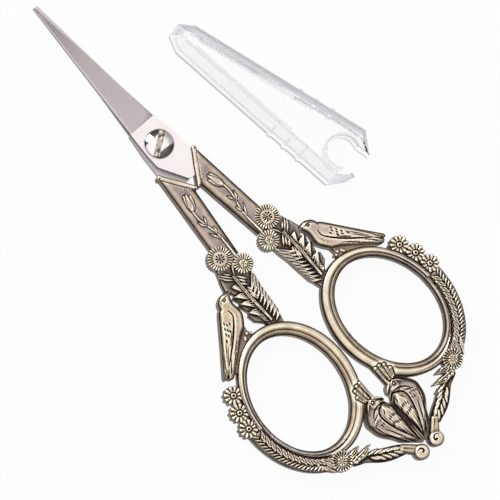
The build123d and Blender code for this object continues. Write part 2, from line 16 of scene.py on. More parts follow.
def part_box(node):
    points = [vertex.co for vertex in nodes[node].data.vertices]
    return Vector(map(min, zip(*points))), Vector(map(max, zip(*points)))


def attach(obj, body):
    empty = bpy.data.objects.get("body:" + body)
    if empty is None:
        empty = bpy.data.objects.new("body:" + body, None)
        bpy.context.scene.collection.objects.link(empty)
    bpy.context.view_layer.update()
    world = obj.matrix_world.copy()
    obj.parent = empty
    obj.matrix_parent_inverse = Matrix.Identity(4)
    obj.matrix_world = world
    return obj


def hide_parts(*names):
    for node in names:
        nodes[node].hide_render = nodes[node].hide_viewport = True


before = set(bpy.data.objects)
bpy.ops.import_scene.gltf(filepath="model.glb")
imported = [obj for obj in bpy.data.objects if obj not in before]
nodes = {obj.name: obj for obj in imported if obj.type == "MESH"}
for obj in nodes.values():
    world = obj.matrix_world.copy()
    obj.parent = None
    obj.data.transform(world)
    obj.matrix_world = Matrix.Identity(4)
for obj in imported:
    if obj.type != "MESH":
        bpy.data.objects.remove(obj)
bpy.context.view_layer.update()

MM = 0.001

# %% [markdown]
# ## Camera
# The photograph was taken from above with a long lens, leaning a little to the side of the left handle,
# so the walls that face that way show as dark bands. The scissors lie at 48 degrees in the picture. A
# camera needs a right and an up direction: both are turned from the frame's X and Y, X tilted first.

# %% Camera from above, leaning back a little
picture_turn = math.radians(48.1)  # from the picture's edge to the scissors' axis
lean = math.radians(11.5)
picture_width = 106.6 * MM  # of the table seen across the picture
picture_middle = Vector((-0.74, -29.8, 1.8)) * MM
lens, sensor = 200.0, 36.0

tilted_x, level_y = Vector((math.cos(lean), 0, math.sin(lean))), Vector((0, 1, 0))
right_way = tilted_x * math.sin(picture_turn) - level_y * math.cos(picture_turn)
up_way = tilted_x * math.cos(picture_turn) + level_y * math.sin(picture_turn)
back_way = right_way.cross(up_way)
camera_data = bpy.data.cameras.new("table_camera")
camera_data.lens, camera_data.sensor_width = lens, sensor
camera_data.clip_start = 0.01
camera = bpy.data.objects.new("table_camera", camera_data)
bpy.context.scene.collection.objects.link(camera)
distance = picture_width * lens / sensor
axes = Matrix((right_way, up_way, back_way)).transposed()
camera.matrix_world = Matrix.Translation(picture_middle + back_way * distance) @ axes.to_4x4()
bpy.context.scene.camera = camera
print("camera", round(distance, 3), "m from the scissors")

# %% [markdown]
# ## Words for finishes
# A finish is a tree of shader nodes: noise, ramps and sums that end in a surface. Built by hand, each node
# takes several lines, so one small class gives short words for the few kinds that this lesson needs.

# %% Short words for shader nodes
def new_object(name, data):
    """A new object of some data, in the scene."""
    made = bpy.data.objects.new(name, data)
    bpy.context.scene.collection.objects.link(made)
    return made


class Tree:
    """The cleared node tree of a material or a world. Its words take sockets and plain values alike."""

    def __init__(self, owner):
        owner.use_nodes = True
        self.nodes, self.link = owner.node_tree.nodes, owner.node_tree.links.new
        self.nodes.clear()

    def add(self, kind):
        """A new node."""
        return self.nodes.new(kind)

    def feed(self, socket, value):
        """Links a socket, or sets its plain value."""
        if isinstance(value, bpy.types.NodeSocket):
            self.link(value, socket)
        else:
            socket.default_value = (*value, 1) if socket.type == "RGBA" else value

    def number(self, operation, *terms, clamp=False):
        """A sum, product or other operation on its terms."""
        step = self.add("ShaderNodeMath")
        step.operation, step.use_clamp = operation, clamp
        for socket, term in zip(step.inputs, terms):
            self.feed(socket, term)
        return step.outputs[0]

    def ramp(self, share, stops):
        """Colours along a share, through stops of place and colour, or of place and grey."""
        ramp = self.add("ShaderNodeValToRGB")
        stops = [(place, (*colour, 1) if isinstance(colour, tuple) else (colour, colour, colour, 1))
                 for place, colour in stops]
        elements = ramp.color_ramp.elements
        elements[0].position, elements[0].color = stops[0]
        elements[1].position, elements[1].color = stops[-1]
        for place, colour in stops[1:-1]:
            elements.new(place).color = colour
        self.link(share, ramp.inputs["Fac"])
        return ramp.outputs["Color"]

    def mix(self, share, first, second, blend="MIX"):
        """Two colours mixed by a share. A Mix node takes colours at its inputs 6 and 7."""
        mix = self.add("ShaderNodeMix")
        mix.data_type, mix.blend_type = "RGBA", blend
        for index, value in ((0, share), (6, first), (7, second)):
            self.feed(mix.inputs[index], value)
        return mix.outputs[2]

    def blend(self, share, first, second):
        """Two shaders mixed by a share."""
        mix = self.add("ShaderNodeMixShader")
        for socket, value in zip(mix.inputs, (share, first.outputs[0], second.outputs[0])):
            self.link(value, socket)
        return mix

    def noise(self, place, scale, detail=3.0, roughness=0.5, stretch=None):
        """Noise over a place, stretched if asked, with its scale in waves per metre."""
        if stretch:
            mapping = self.add("ShaderNodeMapping")
            self.link(place, mapping.inputs["Vector"])
            mapping.inputs["Scale"].default_value = stretch
            place = mapping.outputs["Vector"]
        noise = self.add("ShaderNodeTexNoise")
        for name, value in (("Vector", place), ("Scale", scale), ("Detail", detail),
                            ("Roughness", roughness)):
            self.feed(noise.inputs[name], value)
        return noise.outputs["Fac"]

    def surface(self, colour, roughness, metallic, bump, strength, depth):
        """Ends a material: a surface with its colour, roughness and bump."""
        surface, relief = self.add("ShaderNodeBsdfPrincipled"), self.add("ShaderNodeBump")
        for name, value in (("Strength", strength), ("Distance", depth), ("Height", bump)):
            self.feed(relief.inputs[name], value)
        for name, value in (("Base Color", colour), ("Roughness", roughness), ("Metallic", metallic),
                            ("Normal", relief.outputs["Normal"])):
            self.feed(surface.inputs[name], value)
        self.link(surface.outputs[0], self.add("ShaderNodeOutputMaterial").inputs["Surface"])
        return surface


# %% [markdown]
# ## Table and light
# Such small metal things are pictured in a light tent: white overhead, dim at the sides, with a black
# flag at each end and one lamp from the upper left. Metal shows what it mirrors, so flat tops come out
# light, steep walls dark, and a bright dome gets the dark crescents of the flags. The world's colour by
# direction is the tent. The table is white to the camera and keeps a faint shadow.

# %% [markdown]
# The table is white paint. To the camera, and where metal and glass show it, most of it is an even white
# glow, and the share that is left takes the faint shadow of the scissors.

# %% White table
table_span = 1.2
floor_height = -2.2 * MM
glow_share, paint_white = 0.93, 0.9
table_mesh = bpy.data.meshes.new("table")
corners = [(x * table_span, y * table_span, floor_height)
           for x, y in ((-1, -1), (1, -1), (1, 1), (-1, 1))]
table_mesh.from_pydata(corners, [], [(0, 1, 2, 3)])
table = new_object("table", table_mesh)

white_table = bpy.data.materials.new("white_table")
tree = Tree(white_table)
paint, glow = tree.add("ShaderNodeBsdfDiffuse"), tree.add("ShaderNodeEmission")
seen = tree.add("ShaderNodeLightPath").outputs
paint.inputs["Color"].default_value = (paint_white, paint_white, paint_white, 1)
through = tree.number("MAXIMUM", seen["Is Camera Ray"], seen["Is Transmission Ray"])
seen_or_mirrored = tree.number("MAXIMUM", through, seen["Is Glossy Ray"])
even_white = tree.blend(tree.number("MULTIPLY", seen_or_mirrored, glow_share), paint, glow)
tree.link(even_white.outputs[0], tree.add("ShaderNodeOutputMaterial").inputs["Surface"])
table_mesh.materials.append(white_table)
print("table", table_span * 2, "m across,", round(-floor_height / MM, 1), "mm below the middle plane")

# %% [markdown]
# The tent is the world. Its tone by height and the black flags by direction along the scissors are two
# ramps, multiplied. Light leaves it softly, and behind the table the camera sees plain white.

# %% Tent and soft box
tent_strength = 1.15
flag_black, tent_end, low_wall = (0.14, 0.13, 0.125), 0.4, (0.26, 0.25, 0.25)
tent_by_height = [(0.0, 0.5), (0.3, low_wall), (0.62, 0.5), (0.8, 1.0), (1.0, 1.0)]
tent_by_way = [(0.0, tent_end), (0.13, flag_black), (0.27, flag_black), (0.3, 1.0), (0.74, 1.0),
               (0.78, flag_black), (0.9, flag_black), (1.0, tent_end)]
lamp_up, lamp_left, lamp_high = 0.45, 0.5, 0.62  # metres from the picture's middle
lamp_size, lamp_watts = 0.4, 4.6

world = bpy.data.worlds.new("tent")
bpy.context.scene.world = world
tree = Tree(world)
way = tree.add("ShaderNodeSeparateXYZ")
sky, white_wall = tree.add("ShaderNodeBackground"), tree.add("ShaderNodeBackground")
tree.link(tree.add("ShaderNodeTexCoord").outputs["Generated"], way.inputs[0])
tent = tree.ramp(way.outputs["Z"], tent_by_height)
flags = tree.ramp(tree.number("MULTIPLY_ADD", way.outputs["Y"], 0.5, 0.5), tent_by_way)
tree.link(tree.mix(1.0, tent, flags, "MULTIPLY"), sky.inputs["Color"])
sky.inputs["Strength"].default_value = tent_strength
white_wall.inputs["Color"].default_value = (1, 1, 1, 1)
walls = tree.blend(tree.add("ShaderNodeLightPath").outputs["Is Camera Ray"], sky, white_wall)
tree.link(walls.outputs[0], tree.add("ShaderNodeOutputWorld").inputs["Surface"])

upper_left = picture_middle + (up_way * lamp_up - right_way * lamp_left) + Vector((0, 0, lamp_high))
lamp_data = bpy.data.lights.new("upper_left", "AREA")
lamp_data.size, lamp_data.energy = lamp_size, lamp_watts
lamp = new_object("upper_left", lamp_data)
lamp.location = upper_left
lamp.rotation_mode = "QUATERNION"
lamp.rotation_quaternion = (picture_middle - upper_left).to_track_quat("-Z", "Y")
bpy.context.scene.view_settings.view_transform = "Standard"
print("lamp", round((upper_left - picture_middle).length, 2), "m from the scissors")

# %% [markdown]
# ## Carving wax
# A cast handle starts as a pattern carved in wax. A height field does the same on a computer: a fine grid
# in plan, with a height over the handle's middle plane at each point. Each carving tool is a distance,
# positive inside a shape, and wax is laid, swelled, scored or trimmed by it. This suits cast relief
# better than stacked solids, because neighbouring forms melt together as cast metal does.

# %% Distances to strokes, discs and patches
def stroke(x, y, places, widths):
    """How far each point lies inside a brush stroke through some places, with widths spread along it."""
    best, reach = np.full(np.shape(x), np.inf), np.zeros(np.shape(x))
    lengths = [math.dist(a, b) for a, b in zip(places, places[1:])]
    done = 0.0
    for (ax, ay), (bx, by), length in zip(places, places[1:], lengths):
        along = np.clip(((x - ax) * (bx - ax) + (y - ay) * (by - ay)) / length**2, 0, 1)
        away = np.hypot(x - ax - along * (bx - ax), y - ay - along * (by - ay))
        closer = away < best
        best = np.where(closer, away, best)
        reach = np.where(closer, (done + along * length) / sum(lengths), reach)
        done += length
    return np.interp(reach, np.linspace(0, 1, len(widths)), widths) / 2 - best


def disc(x, y, place, radius):
    """How far each point lies inside a disc."""
    return radius - np.hypot(x - place[0], y - place[1])


def patch(x, y, corners):
    """How far each point lies inside a closed outline."""
    away, inside = np.full(np.shape(x), np.inf), np.zeros(np.shape(x), bool)
    for (ax, ay), (bx, by) in zip(corners, corners[1:] + corners[:1]):
        square = max((bx - ax) ** 2 + (by - ay) ** 2, 1e-12)
        along = np.clip(((x - ax) * (bx - ax) + (y - ay) * (by - ay)) / square, 0, 1)
        away = np.minimum(away, np.hypot(x - ax - along * (bx - ax), y - ay - along * (by - ay)))
        if ay != by:
            inside ^= ((ay > y) != (by > y)) & (x < (bx - ax) * (y - ay) / (by - ay) + ax)
    return np.where(inside, away, -away)


def folded(x, y, place, count, turn=0.0):
    """Points seen from a flower's centre, folded into one petal: out along it, and across it."""
    angle = np.arctan2(y - place[1], x - place[0]) - math.radians(turn)
    sector = 2 * math.pi / count
    angle = (angle + sector / 2) % sector - sector / 2
    reach = np.hypot(x - place[0], y - place[1])
    return reach * np.cos(angle), reach * np.sin(angle)


# %% [markdown]
# The wax itself keeps five fields on its grid: the two plan places, how far inside the outline a point
# lies, its height, and how rosy it is. Its short words bar, ridge, cut, bead, boss and pit lay, raise or
# press a stroke or a disc, which are the two shapes used most.

# %% The wax
face = 2.2  # mm, from the middle plane to the highest relief
pitch = 0.12  # mm, of the grid
unlaid = -9.0  # mm inside, where there is no wax yet


class Wax:
    """Carving wax between two corners: x and y in plan, how far inside it lies, height, and tint."""

    def __init__(self, low, high, pitch=pitch):
        self.pitch = pitch
        across = np.arange(low[0] - 2 * pitch, high[0] + 2 * pitch, pitch)
        along = np.arange(low[1] - 2 * pitch, high[1] + 2 * pitch, pitch)
        self.x, self.y = np.meshgrid(across, along)
        self.inside = np.full(self.x.shape, unlaid)
        self.h = np.zeros(self.x.shape)
        self.rose = np.zeros(self.x.shape)

    def lay(self, shape, top, round_off=0.3):
        """Lays wax up to a height, with its rim rounded off, and keeps what is higher already."""
        rim = np.clip(1 - shape / round_off, 0, 1)
        height = top - round_off * (1 - np.sqrt(1 - rim**2))
        where = (shape > 0) | ((shape > -self.pitch) & (self.inside <= 0))
        self.h = np.where(where, np.maximum(self.h, height), self.h)
        self.inside = np.maximum(self.inside, shape)

    def raise_on(self, shape, top, round_off=0.2):
        """Raises relief on the wax that is there, without making it wider."""
        rim = np.clip(1 - shape / round_off, 0, 1)
        height = top - round_off * (1 - np.sqrt(1 - rim**2))
        self.h = np.where(shape > 0, np.maximum(self.h, height), self.h)

    def score(self, shape, depth, slope=0.12):
        """Presses a groove or a hollow into the wax, with sloping sides."""
        self.h = self.h - depth * np.clip(shape / slope, 0, 1)

    def sink(self, shape, level):
        """Carves down to a level inside a shape."""
        self.h = np.where(shape > 0, np.minimum(self.h, level), self.h)

    def tint(self, shape, amount=1.0, soft=0.25):
        """Marks where the casting was wiped to a rosy grey."""
        self.rose = np.maximum(self.rose, amount * np.clip(shape / soft + 0.5, 0, 1))

    def trim(self, shape):
        """Cuts the wax away inside a shape."""
        self.inside = np.minimum(self.inside, -shape)

    def stroke(self, places, widths):
        """How far each point of the wax lies inside a stroke."""
        return stroke(self.x, self.y, places, widths)

    def disc(self, place, radius):
        """How far each point of the wax lies inside a disc."""
        return disc(self.x, self.y, place, radius)

    def patch(self, corners):
        """How far each point of the wax lies inside a closed outline."""
        return patch(self.x, self.y, corners)

    def bar(self, places, widths, top, round_off=0.3):
        """Lays a stroke."""
        self.lay(self.stroke(places, widths), top, round_off)

    def bead(self, place, radius, top, round_off=0.3):
        """Lays a disc."""
        self.lay(self.disc(place, radius), top, round_off)

    def ridge(self, places, widths, top, round_off=0.2):
        """Raises a stroke on the wax."""
        self.raise_on(self.stroke(places, widths), top, round_off)

    def boss(self, place, radius, top, round_off=0.2):
        """Raises a disc on the wax."""
        self.raise_on(self.disc(place, radius), top, round_off)

    def cut(self, places, widths, depth, slope=0.12):
        """Presses a stroke into the wax."""
        self.score(self.stroke(places, widths), depth, slope)

    def pit(self, place, radius, depth, slope=0.12):
        """Presses a disc into the wax."""
        self.score(self.disc(place, radius), depth, slope)


# %% [markdown]
# ## From wax to casting
# The mesh follows the grid. Where the outline passes between grid points, the nearest points slide on to
# it, so that the silhouette is smooth. The same relief goes on the back, and a wall joins the two. Each
# point also stores its wear and painted shade: antique finish is a dark stain that is wiped off ridges and
# stays in hollows, so what stands above its surroundings is bright and what lies below them is dark. A
# painted shade adds to it: relief low over the middle plane comes out darker and high relief brighter,
# and the walls take a dark tone that is partly stain and partly painted shade.

# %% Skin, wear and painted shade
snap_share = 0.7  # of a grid step, that a point may lie outside and still be kept
slide_share, least_steep = 0.3, 0.3
blur_steps = 14
# The height term is painted shade: relief low over the middle plane darker, high relief brighter.
flat_wear, ridge_wear, painted_height_shade, middle_height = 0.52, 3.4, 0.36, 1.95
wall_rows = (0.14, 0.5, 0.86)  # shares of the way from the front down to the back
# The walls' tone is partly stain and partly painted shade.
wall_stain_and_shade = 0.34


def smoothed(field, mask, steps):
    """A field with each point drawn to its neighbours, inside a mask."""
    weight = mask.astype(float)
    total = field * weight
    for _ in range(steps):
        for axis in (0, 1):
            total = total + np.roll(total, 1, axis) + np.roll(total, -1, axis)
            weight = weight + np.roll(weight, 1, axis) + np.roll(weight, -1, axis)
        scale = np.maximum(weight.max(), 1e-9)
        total, weight = total / scale, weight / scale
    return total / np.maximum(weight, 1e-9)


def skin(wax):
    """Places, faces, wear with painted shade, and tint of a casting from its wax."""
    kept = wax.inside > -snap_share * wax.pitch
    slope_y, slope_x = np.gradient(wax.inside, wax.pitch)
    steep = np.maximum(slope_x**2 + slope_y**2, least_steep)
    slide = np.where(kept & (wax.inside < slide_share * wax.pitch), -wax.inside / steep, 0)
    slide = np.clip(slide, -wax.pitch, wax.pitch)
    x, y = wax.x + slope_x * slide, wax.y + slope_y * slide
    number = np.full(kept.shape, -1)
    number[kept] = np.arange(kept.sum())
    cells = [number[:-1, :-1], number[:-1, 1:], number[1:, 1:], number[1:, :-1]]
    cells = np.stack([c.ravel() for c in cells], 1)
    missing = (cells < 0).sum(1)
    quads = cells[missing == 0]
    triangles = cells[missing == 1]
    triangles = np.array([t[t >= 0] for t in triangles]) if len(triangles) else np.zeros((0, 3), int)
    local = smoothed(wax.h, kept, blur_steps)
    # Stain wiped from what stands above its surroundings, plus painted shade by height over the middle plane.
    wear_and_shade = flat_wear + ridge_wear * (wax.h - local) + painted_height_shade * (wax.h - middle_height)
    wear_and_shade = np.clip(wear_and_shade, 0, 1)
    return x[kept], y[kept], wax.h[kept], wear_and_shade[kept], wax.rose[kept], quads, triangles


def rim_edges(quads, triangles, count):
    """The edges that only one face has, each along its own face."""
    edges = [quads[:, [i, (i + 1) % 4]] for i in range(4)]
    edges = np.concatenate(edges + [triangles[:, [i, (i + 1) % 3]] for i in range(3)])
    key, back = edges[:, 0] * count + edges[:, 1], edges[:, 1] * count + edges[:, 0]
    return edges[~np.isin(key, back)]

# %% [markdown]
# A casting is a closed body. Front and back take the same relief, or the back is flat, and the wall
# between them goes down in a few rows, so that it can take a tone of its own, partly stain and partly
# painted shade.

# %% Closed mesh of a casting
def casting_mesh(name, wax, flat_back=None):
    """A closed mesh with the same relief on both faces, or a flat back, and a wall between them."""
    x, y, h, wear_and_shade, rose, quads, triangles = skin(wax)
    under = -h if flat_back is None else np.full(len(h), flat_back)
    count = len(x)
    rim = rim_edges(quads, triangles, count)
    on_rim = np.unique(rim)
    order = np.full(count, -1)
    order[on_rim] = np.arange(len(on_rim))
    levels = [h, under] + [(h + (under - h) * row)[on_rim] for row in wall_rows]
    plan_x = [x, x] + [x[on_rim]] * len(wall_rows)
    plan_y = [y, y] + [y[on_rim]] * len(wall_rows)
    places = np.stack([np.concatenate(plan_x), np.concatenate(plan_y), np.concatenate(levels)], 1) * MM
    # The walls get one tone, partly stain and partly painted shade.
    wall = np.full(len(on_rim) * len(wall_rows), wall_stain_and_shade)
    wear_and_shade_values = np.concatenate([wear_and_shade, wear_and_shade, wall])
    tint = np.concatenate([rose, rose, wall * 0])
    faces = quads.tolist() + triangles.tolist()
    faces += (quads[:, ::-1] + count).tolist() + (triangles[:, ::-1] + count).tolist()
    middle_rings = [order[rim] + 2 * count + row * len(on_rim) for row in range(len(wall_rows))]
    rings = [rim] + middle_rings + [rim + count]
    for upper, lower in zip(rings, rings[1:]):
        faces += np.stack([upper[:, 1], upper[:, 0], lower[:, 0], lower[:, 1]], 1).tolist()
    mesh = bpy.data.meshes.new(name)
    mesh.from_pydata(places.tolist(), [], faces)
    for label, values in (("wear_and_shade", wear_and_shade_values), ("rose", tint)):
        layer = mesh.attributes.new(label, "FLOAT", "POINT")
        layer.data.foreach_set("value", values.astype(np.float32))
    mesh.validate()
    return mesh

# %% [markdown]
# Both handles come from one pattern, the second turned over, so each form is carved once and stands on
# both halves. Each piece rides on its half and stands for its node of the frame.

# %% One form on both handles
def finish_mesh(mesh, sharp=42):
    """Smooth shading with hard edges where faces meet at a sharp angle."""
    mesh.shade_smooth()
    mesh.set_sharp_from_angle(angle=math.radians(sharp))


def cast(form, wax):
    """The form's piece on the right handle, and the same casting turned over on the left one."""
    mesh = casting_mesh("right_" + form, wax)
    turned_over = mesh.copy()
    turned_over.transform(Matrix.Rotation(math.pi, 4, "Y"))
    for side, shape in (("right", mesh), ("left", turned_over)):
        finish_mesh(shape)
        shape.materials.append(antique)
        piece = new_object(f"{side}_{form}_casting", shape)
        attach(piece, side + "_half")
        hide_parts(f"{side}_{form}")
    low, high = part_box("right_" + form)
    box = [round(v / MM, 1) for v in (low.x, low.y, high.x, high.y)]
    own = [round(float(v), 1) for v in (wax.x[wax.inside > 0].min(), wax.y[wax.inside > 0].min(),
                                        wax.x[wax.inside > 0].max(), wax.y[wax.inside > 0].max())]
    print(form, len(mesh.vertices), "points, plan", own, "in the frame", box)


# %% [markdown]
# ## Antique finish
# The castings are plated, stained almost black and wiped. The stain is left in hollows and, with painted
# shade, on walls; the plate shows a warm tan on flats and pale cream on ridges that fingers rub. A colour
# ramp over the stored wear and painted shade does this, with a little noise so that the wiping is uneven,
# and a fine cast grain as bump. The painted shade also makes low relief darker and high relief brighter.

# %% Antique casting material
# The darkest colour serves both the stain in hollows and the painted shade on low relief and walls.
stain_and_shade_black = (0.016, 0.011, 0.009)
umber = (0.10, 0.072, 0.055)
bronze = (0.28, 0.205, 0.135)
tan = (0.59, 0.46, 0.31)
cream = (0.98, 0.89, 0.72)
grey_brown = (0.20, 0.165, 0.155)
rosy_grey = (0.55, 0.455, 0.44)

antique = bpy.data.materials.new("antique_casting")
tree = Tree(antique)
own_place = tree.add("ShaderNodeTexCoord").outputs["Object"]
wear_and_shade_node, rose_node = tree.add("ShaderNodeAttribute"), tree.add("ShaderNodeAttribute")
wear_and_shade_node.attribute_name, rose_node.attribute_name = "wear_and_shade", "rose"
grain = tree.noise(own_place, 5200, 2)
uneven = tree.number("MULTIPLY_ADD", tree.noise(own_place, 420, 4), 0.3, -0.15)
fleck = tree.number("MULTIPLY_ADD", grain, 0.16, -0.08)
# Wear and painted shade from the mesh, made uneven by noise.
wiped = tree.number("ADD", tree.number("ADD", wear_and_shade_node.outputs["Fac"], uneven), fleck, clamp=True)
plate = tree.ramp(wiped, [(0.1, stain_and_shade_black), (0.3, umber), (0.46, bronze), (0.64, tan), (0.88, cream)])
rosy = tree.ramp(wiped, [(0.08, stain_and_shade_black), (0.3, umber), (0.44, grey_brown), (0.66, rosy_grey), (1.0, cream)])
clouds = tree.ramp(tree.noise(own_place, 150, 3), [(0.45, 0.0), (0.65, 0.5)])
rosiness = tree.number("MAXIMUM", rose_node.outputs["Fac"], clouds, clamp=True)
gloss = tree.number("MULTIPLY_ADD", wiped, -0.25, 0.55)
tree.surface(tree.mix(rosiness, plate, rosy), gloss, 0.88, grain, 0.35, 0.00003)
print("antique finish", len(tree.nodes), "nodes")

# %% [markdown]
# ## Sizes of the handle
# The ornaments sit on the finger ring, so its ovals are the guide for most places. The values are those of
# the frame, in millimetres, and each casting prints its plan beside its node's box.

# %% Guide ovals and helpers for places
ring_centre = (13.45, -59.35)
ring_bore = (20.0, 26.6)
outer_centre = (12.9, -59.35)
outer_oval = (24.9, 31.9)
ring_tilt = 8


def on_ring(turn, out=0.0):
    """A place on the outer edge of the finger ring, or out of it by a distance."""
    turn, tilt = math.radians(turn), math.radians(ring_tilt)
    width, length = outer_oval
    steepness = math.hypot(math.cos(turn) * 2 / width, math.sin(turn) * 2 / length)
    x = math.cos(turn) * (width / 2 + out * 2 / width / steepness)
    y = math.sin(turn) * (length / 2 + out * 2 / length / steepness)
    return (outer_centre[0] + x * math.cos(tilt) - y * math.sin(tilt),
            outer_centre[1] + x * math.sin(tilt) + y * math.cos(tilt))


def in_oval(x, y, centre, size, grow=0.0):
    """How far each point lies inside a tilted oval."""
    tilt = math.radians(ring_tilt)
    u = (x - centre[0]) * math.cos(tilt) + (y - centre[1]) * math.sin(tilt)
    v = (y - centre[1]) * math.cos(tilt) - (x - centre[0]) * math.sin(tilt)
    a, b = size[0] / 2 + grow, size[1] / 2 + grow
    k = np.maximum(np.hypot(u / a, v / b), 1e-6)
    return (1 - k) / (np.hypot(u / a**2, v / b**2) / k)


def in_ring(wax, grow=0.0):
    """How far each point of the wax lies inside the ring's outer edge."""
    return in_oval(wax.x, wax.y, outer_centre, outer_oval, grow)

# %% [markdown]
# Drawing needs few places. These words set a place between two others, turn and scale a small
# drawing to where it stands, and run a smooth line through some places.

# %% Words for places and lines
def between(start, end, share):
    """A place on the way from one place to another."""
    return (start[0] + (end[0] - start[0]) * share, start[1] + (end[1] - start[1]) * share)


def turned(places, origin, turn, size=1.0):
    """Places of a form's own axes, scaled, turned and moved to where the form stands."""
    c, s = math.cos(math.radians(turn)) * size, math.sin(math.radians(turn)) * size
    return [(origin[0] + u * c - v * s, origin[1] + u * s + v * c) for u, v in places]


def smooth_run(places, steps=4, closed=False):
    """Places along a smooth line through some places."""
    ends = [places[-1]] + places + places[:2] if closed else [places[0]] + places + [places[-1]]
    line = []
    for a, b, c, d in zip(ends, ends[1:], ends[2:], ends[3:]):
        for step in range(steps):
            t = step / steps
            line.append(tuple(
                b[i] + (c[i] - a[i]) * t / 2 + (2 * a[i] - 5 * b[i] + 4 * c[i] - d[i]) * t**2 / 2
                + (3 * b[i] - a[i] - 3 * c[i] + d[i]) * t**3 / 2 for i in (0, 1)))
    return line if closed else line + [places[-1]]


def centre_of(name):
    """The middle of a node of the right handle, and half its width, in mm."""
    low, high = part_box("right_" + name)
    return ((low.x + high.x) / 2 / MM, (low.y + high.y) / 2 / MM), (high.x - low.x) / 2 / MM


garland_first, garland_last = -12.0, -80.0  # turns on the ring's outer edge
garland_lap = 0.85  # mm, of the garland over the ring's edge
far = 30.0  # mm, well outside the ring
garland_middle = (garland_first + garland_last) / 2
garland_sector = [outer_centre, on_ring(garland_last - 2, far), on_ring(garland_middle, far),
                  on_ring(garland_first + 2, far)]
print("ring from", on_ring(180), "to", on_ring(0))

# %% [markdown]
# ## Daisies and blossoms
# Each flower is one disc of wax with petals that repeat around it. Folding the plane into one petal lets
# one short drawing serve all of them. The large daisy has a rim of short petals round a flat ring and a
# star in its middle, the small one has long petals over a dome, and the blossoms have eleven round
# lobes about a boss with a pit.

# %% Large daisy
def flower_wax(place, radius):
    """Wax for a flower of a radius about a place."""
    return Wax((place[0] - radius, place[1] - radius), (place[0] + radius, place[1] + radius), 0.09)


seam = 0.12  # mm, that a casting reaches into its neighbour
large_place, large_radius = centre_of("large_daisy")
wax = flower_wax(large_place, large_radius)
reach, across = folded(wax.x, wax.y, large_place, 26)
wax.bead(large_place, large_radius - 0.22, 1.75, 0.3)
wax.lay(stroke(reach, across, [(1.5, 0), (large_radius - 0.28, 0)], (0.2, 0.46)), face - 0.03, 0.22)
wax.boss(large_place, 1.6, face - 0.12, 0.2)
wax.tint(wax.disc(large_place, 1.6), 0.4)
ray, beside = folded(wax.x, wax.y, large_place, 9, 12)
wax.sink(wax.disc(large_place, 1.0), face - 0.36)
wax.raise_on(stroke(ray, beside, [(0.12, 0), (1.05, 0)], (0.14, 0.28)), face - 0.06, 0.12)
wax.pit(large_place, 0.24, 0.25, 0.12)
cast("large_daisy", wax)

# %% [markdown]
# The small daisy leans on the large one. Its petals are long and meet at a low dome with five dots
# pressed round a pit. It is cut away where the large daisy stands, because the two meet there as one
# casting.

# %% Small daisy
small_place, small_radius = centre_of("small_daisy")
small_place = (small_place[0] + 0.02, small_place[1])
wax = flower_wax(small_place, small_radius)
reach, across = folded(wax.x, wax.y, small_place, 20)
petal = stroke(reach, across, [(0.75, 0), (small_radius - 0.28, 0)], (0.14, 0.5))
wax.bead(small_place, small_radius - 0.22, 1.65, 0.3)
wax.lay(petal, face - 0.02, 0.22)
wax.boss(small_place, 0.85, face - 0.1, 0.2)
dot, beside = folded(wax.x, wax.y, small_place, 5, 20)
wax.score(stroke(dot, beside, [(0.42, 0), (0.5, 0)], (0.26, 0.26)), 0.4, 0.12)
wax.pit(small_place, 0.18, 0.4, 0.1)
wax.trim(wax.disc(large_place, large_radius - seam))
cast("small_daisy", wax)

# %% [markdown]
# The daisy between the garland and the spray has petals with round ends. A narrow stroke with a bead at
# its end gives that, and a small star is pressed in its middle.

# %% Tail daisy
tail_place, tail_radius = centre_of("tail_daisy")
wax = flower_wax(tail_place, tail_radius)
reach, across = folded(wax.x, wax.y, tail_place, 20)
wax.bead(tail_place, tail_radius - 0.2, 1.45, 0.3)
wax.lay(stroke(reach, across, [(1.0, 0), (tail_radius - 0.28, 0)], (0.18, 0.3)), face - 0.12, 0.16)
wax.lay(disc(reach, across, (tail_radius - 0.3, 0), 0.27), face, 0.24)
wax.boss(tail_place, 1.05, face - 0.18, 0.25)
ray, beside = folded(wax.x, wax.y, tail_place, 8)
wax.score(stroke(ray, beside, [(0.3, 0), (0.85, 0)], (0.1, 0.24)), 0.3, 0.1)
cast("tail_daisy", wax)

# %% [markdown]
# Three blossoms overlap beside the garland, so they share one block of wax. Each has its own turn, as
# stamped flowers never line up quite.

# %% Blossoms
blossom_places = [on_ring(turn, 1.45) for turn in (25.0, 11.75, -1.25)]
blossom_radius, blossom_turns, blossom_room = 2.15, (10, 4, 0), 2.4
low = [min(p[axis] for p in blossom_places) - blossom_room for axis in (0, 1)]
high = [max(p[axis] for p in blossom_places) + blossom_room for axis in (0, 1)]
wax = Wax(low, high, 0.09)
for place, turn in zip(blossom_places, blossom_turns):
    reach, across = folded(wax.x, wax.y, place, 11, turn)
    wax.bead(place, blossom_radius - 0.36, 1.6, 0.3)
    wax.lay(stroke(reach, across, [(0.95, 0), (blossom_radius - 0.44, 0)], (0.5, 0.88)), face - 0.04, 0.36)
    wax.score(stroke(reach, across, [(1.0, 0), (1.45, 0)], (0.16, 0.08)), 0.16, 0.08)
    wax.sink(wax.disc(place, 0.82), face - 0.5)
    wax.boss(place, 0.6, face - 0.02, 0.22)
    wax.pit(place, 0.28, 0.6, 0.12)
wax.trim(in_ring(wax))
cast("blossoms", wax)

# %% [markdown]
# ## Collar and shank
# The shank is a bar with drawn-in sides and a wiped panel, where a three petalled bud stands on a bent
# stem. A wire collar, cast with it, ends the handle where the blade goes in. Strokes with widths that
# swell and taper draw a petal or a stem with very few places.

# %% Collar
collar_outer, collar_inner = (4.95, -5.6), (0.55, -12.2)
shank_foot, shank_spread, shank_width = -28.6, 2.95, 4.7
shank_top, side_fall = 1.99, 0.26

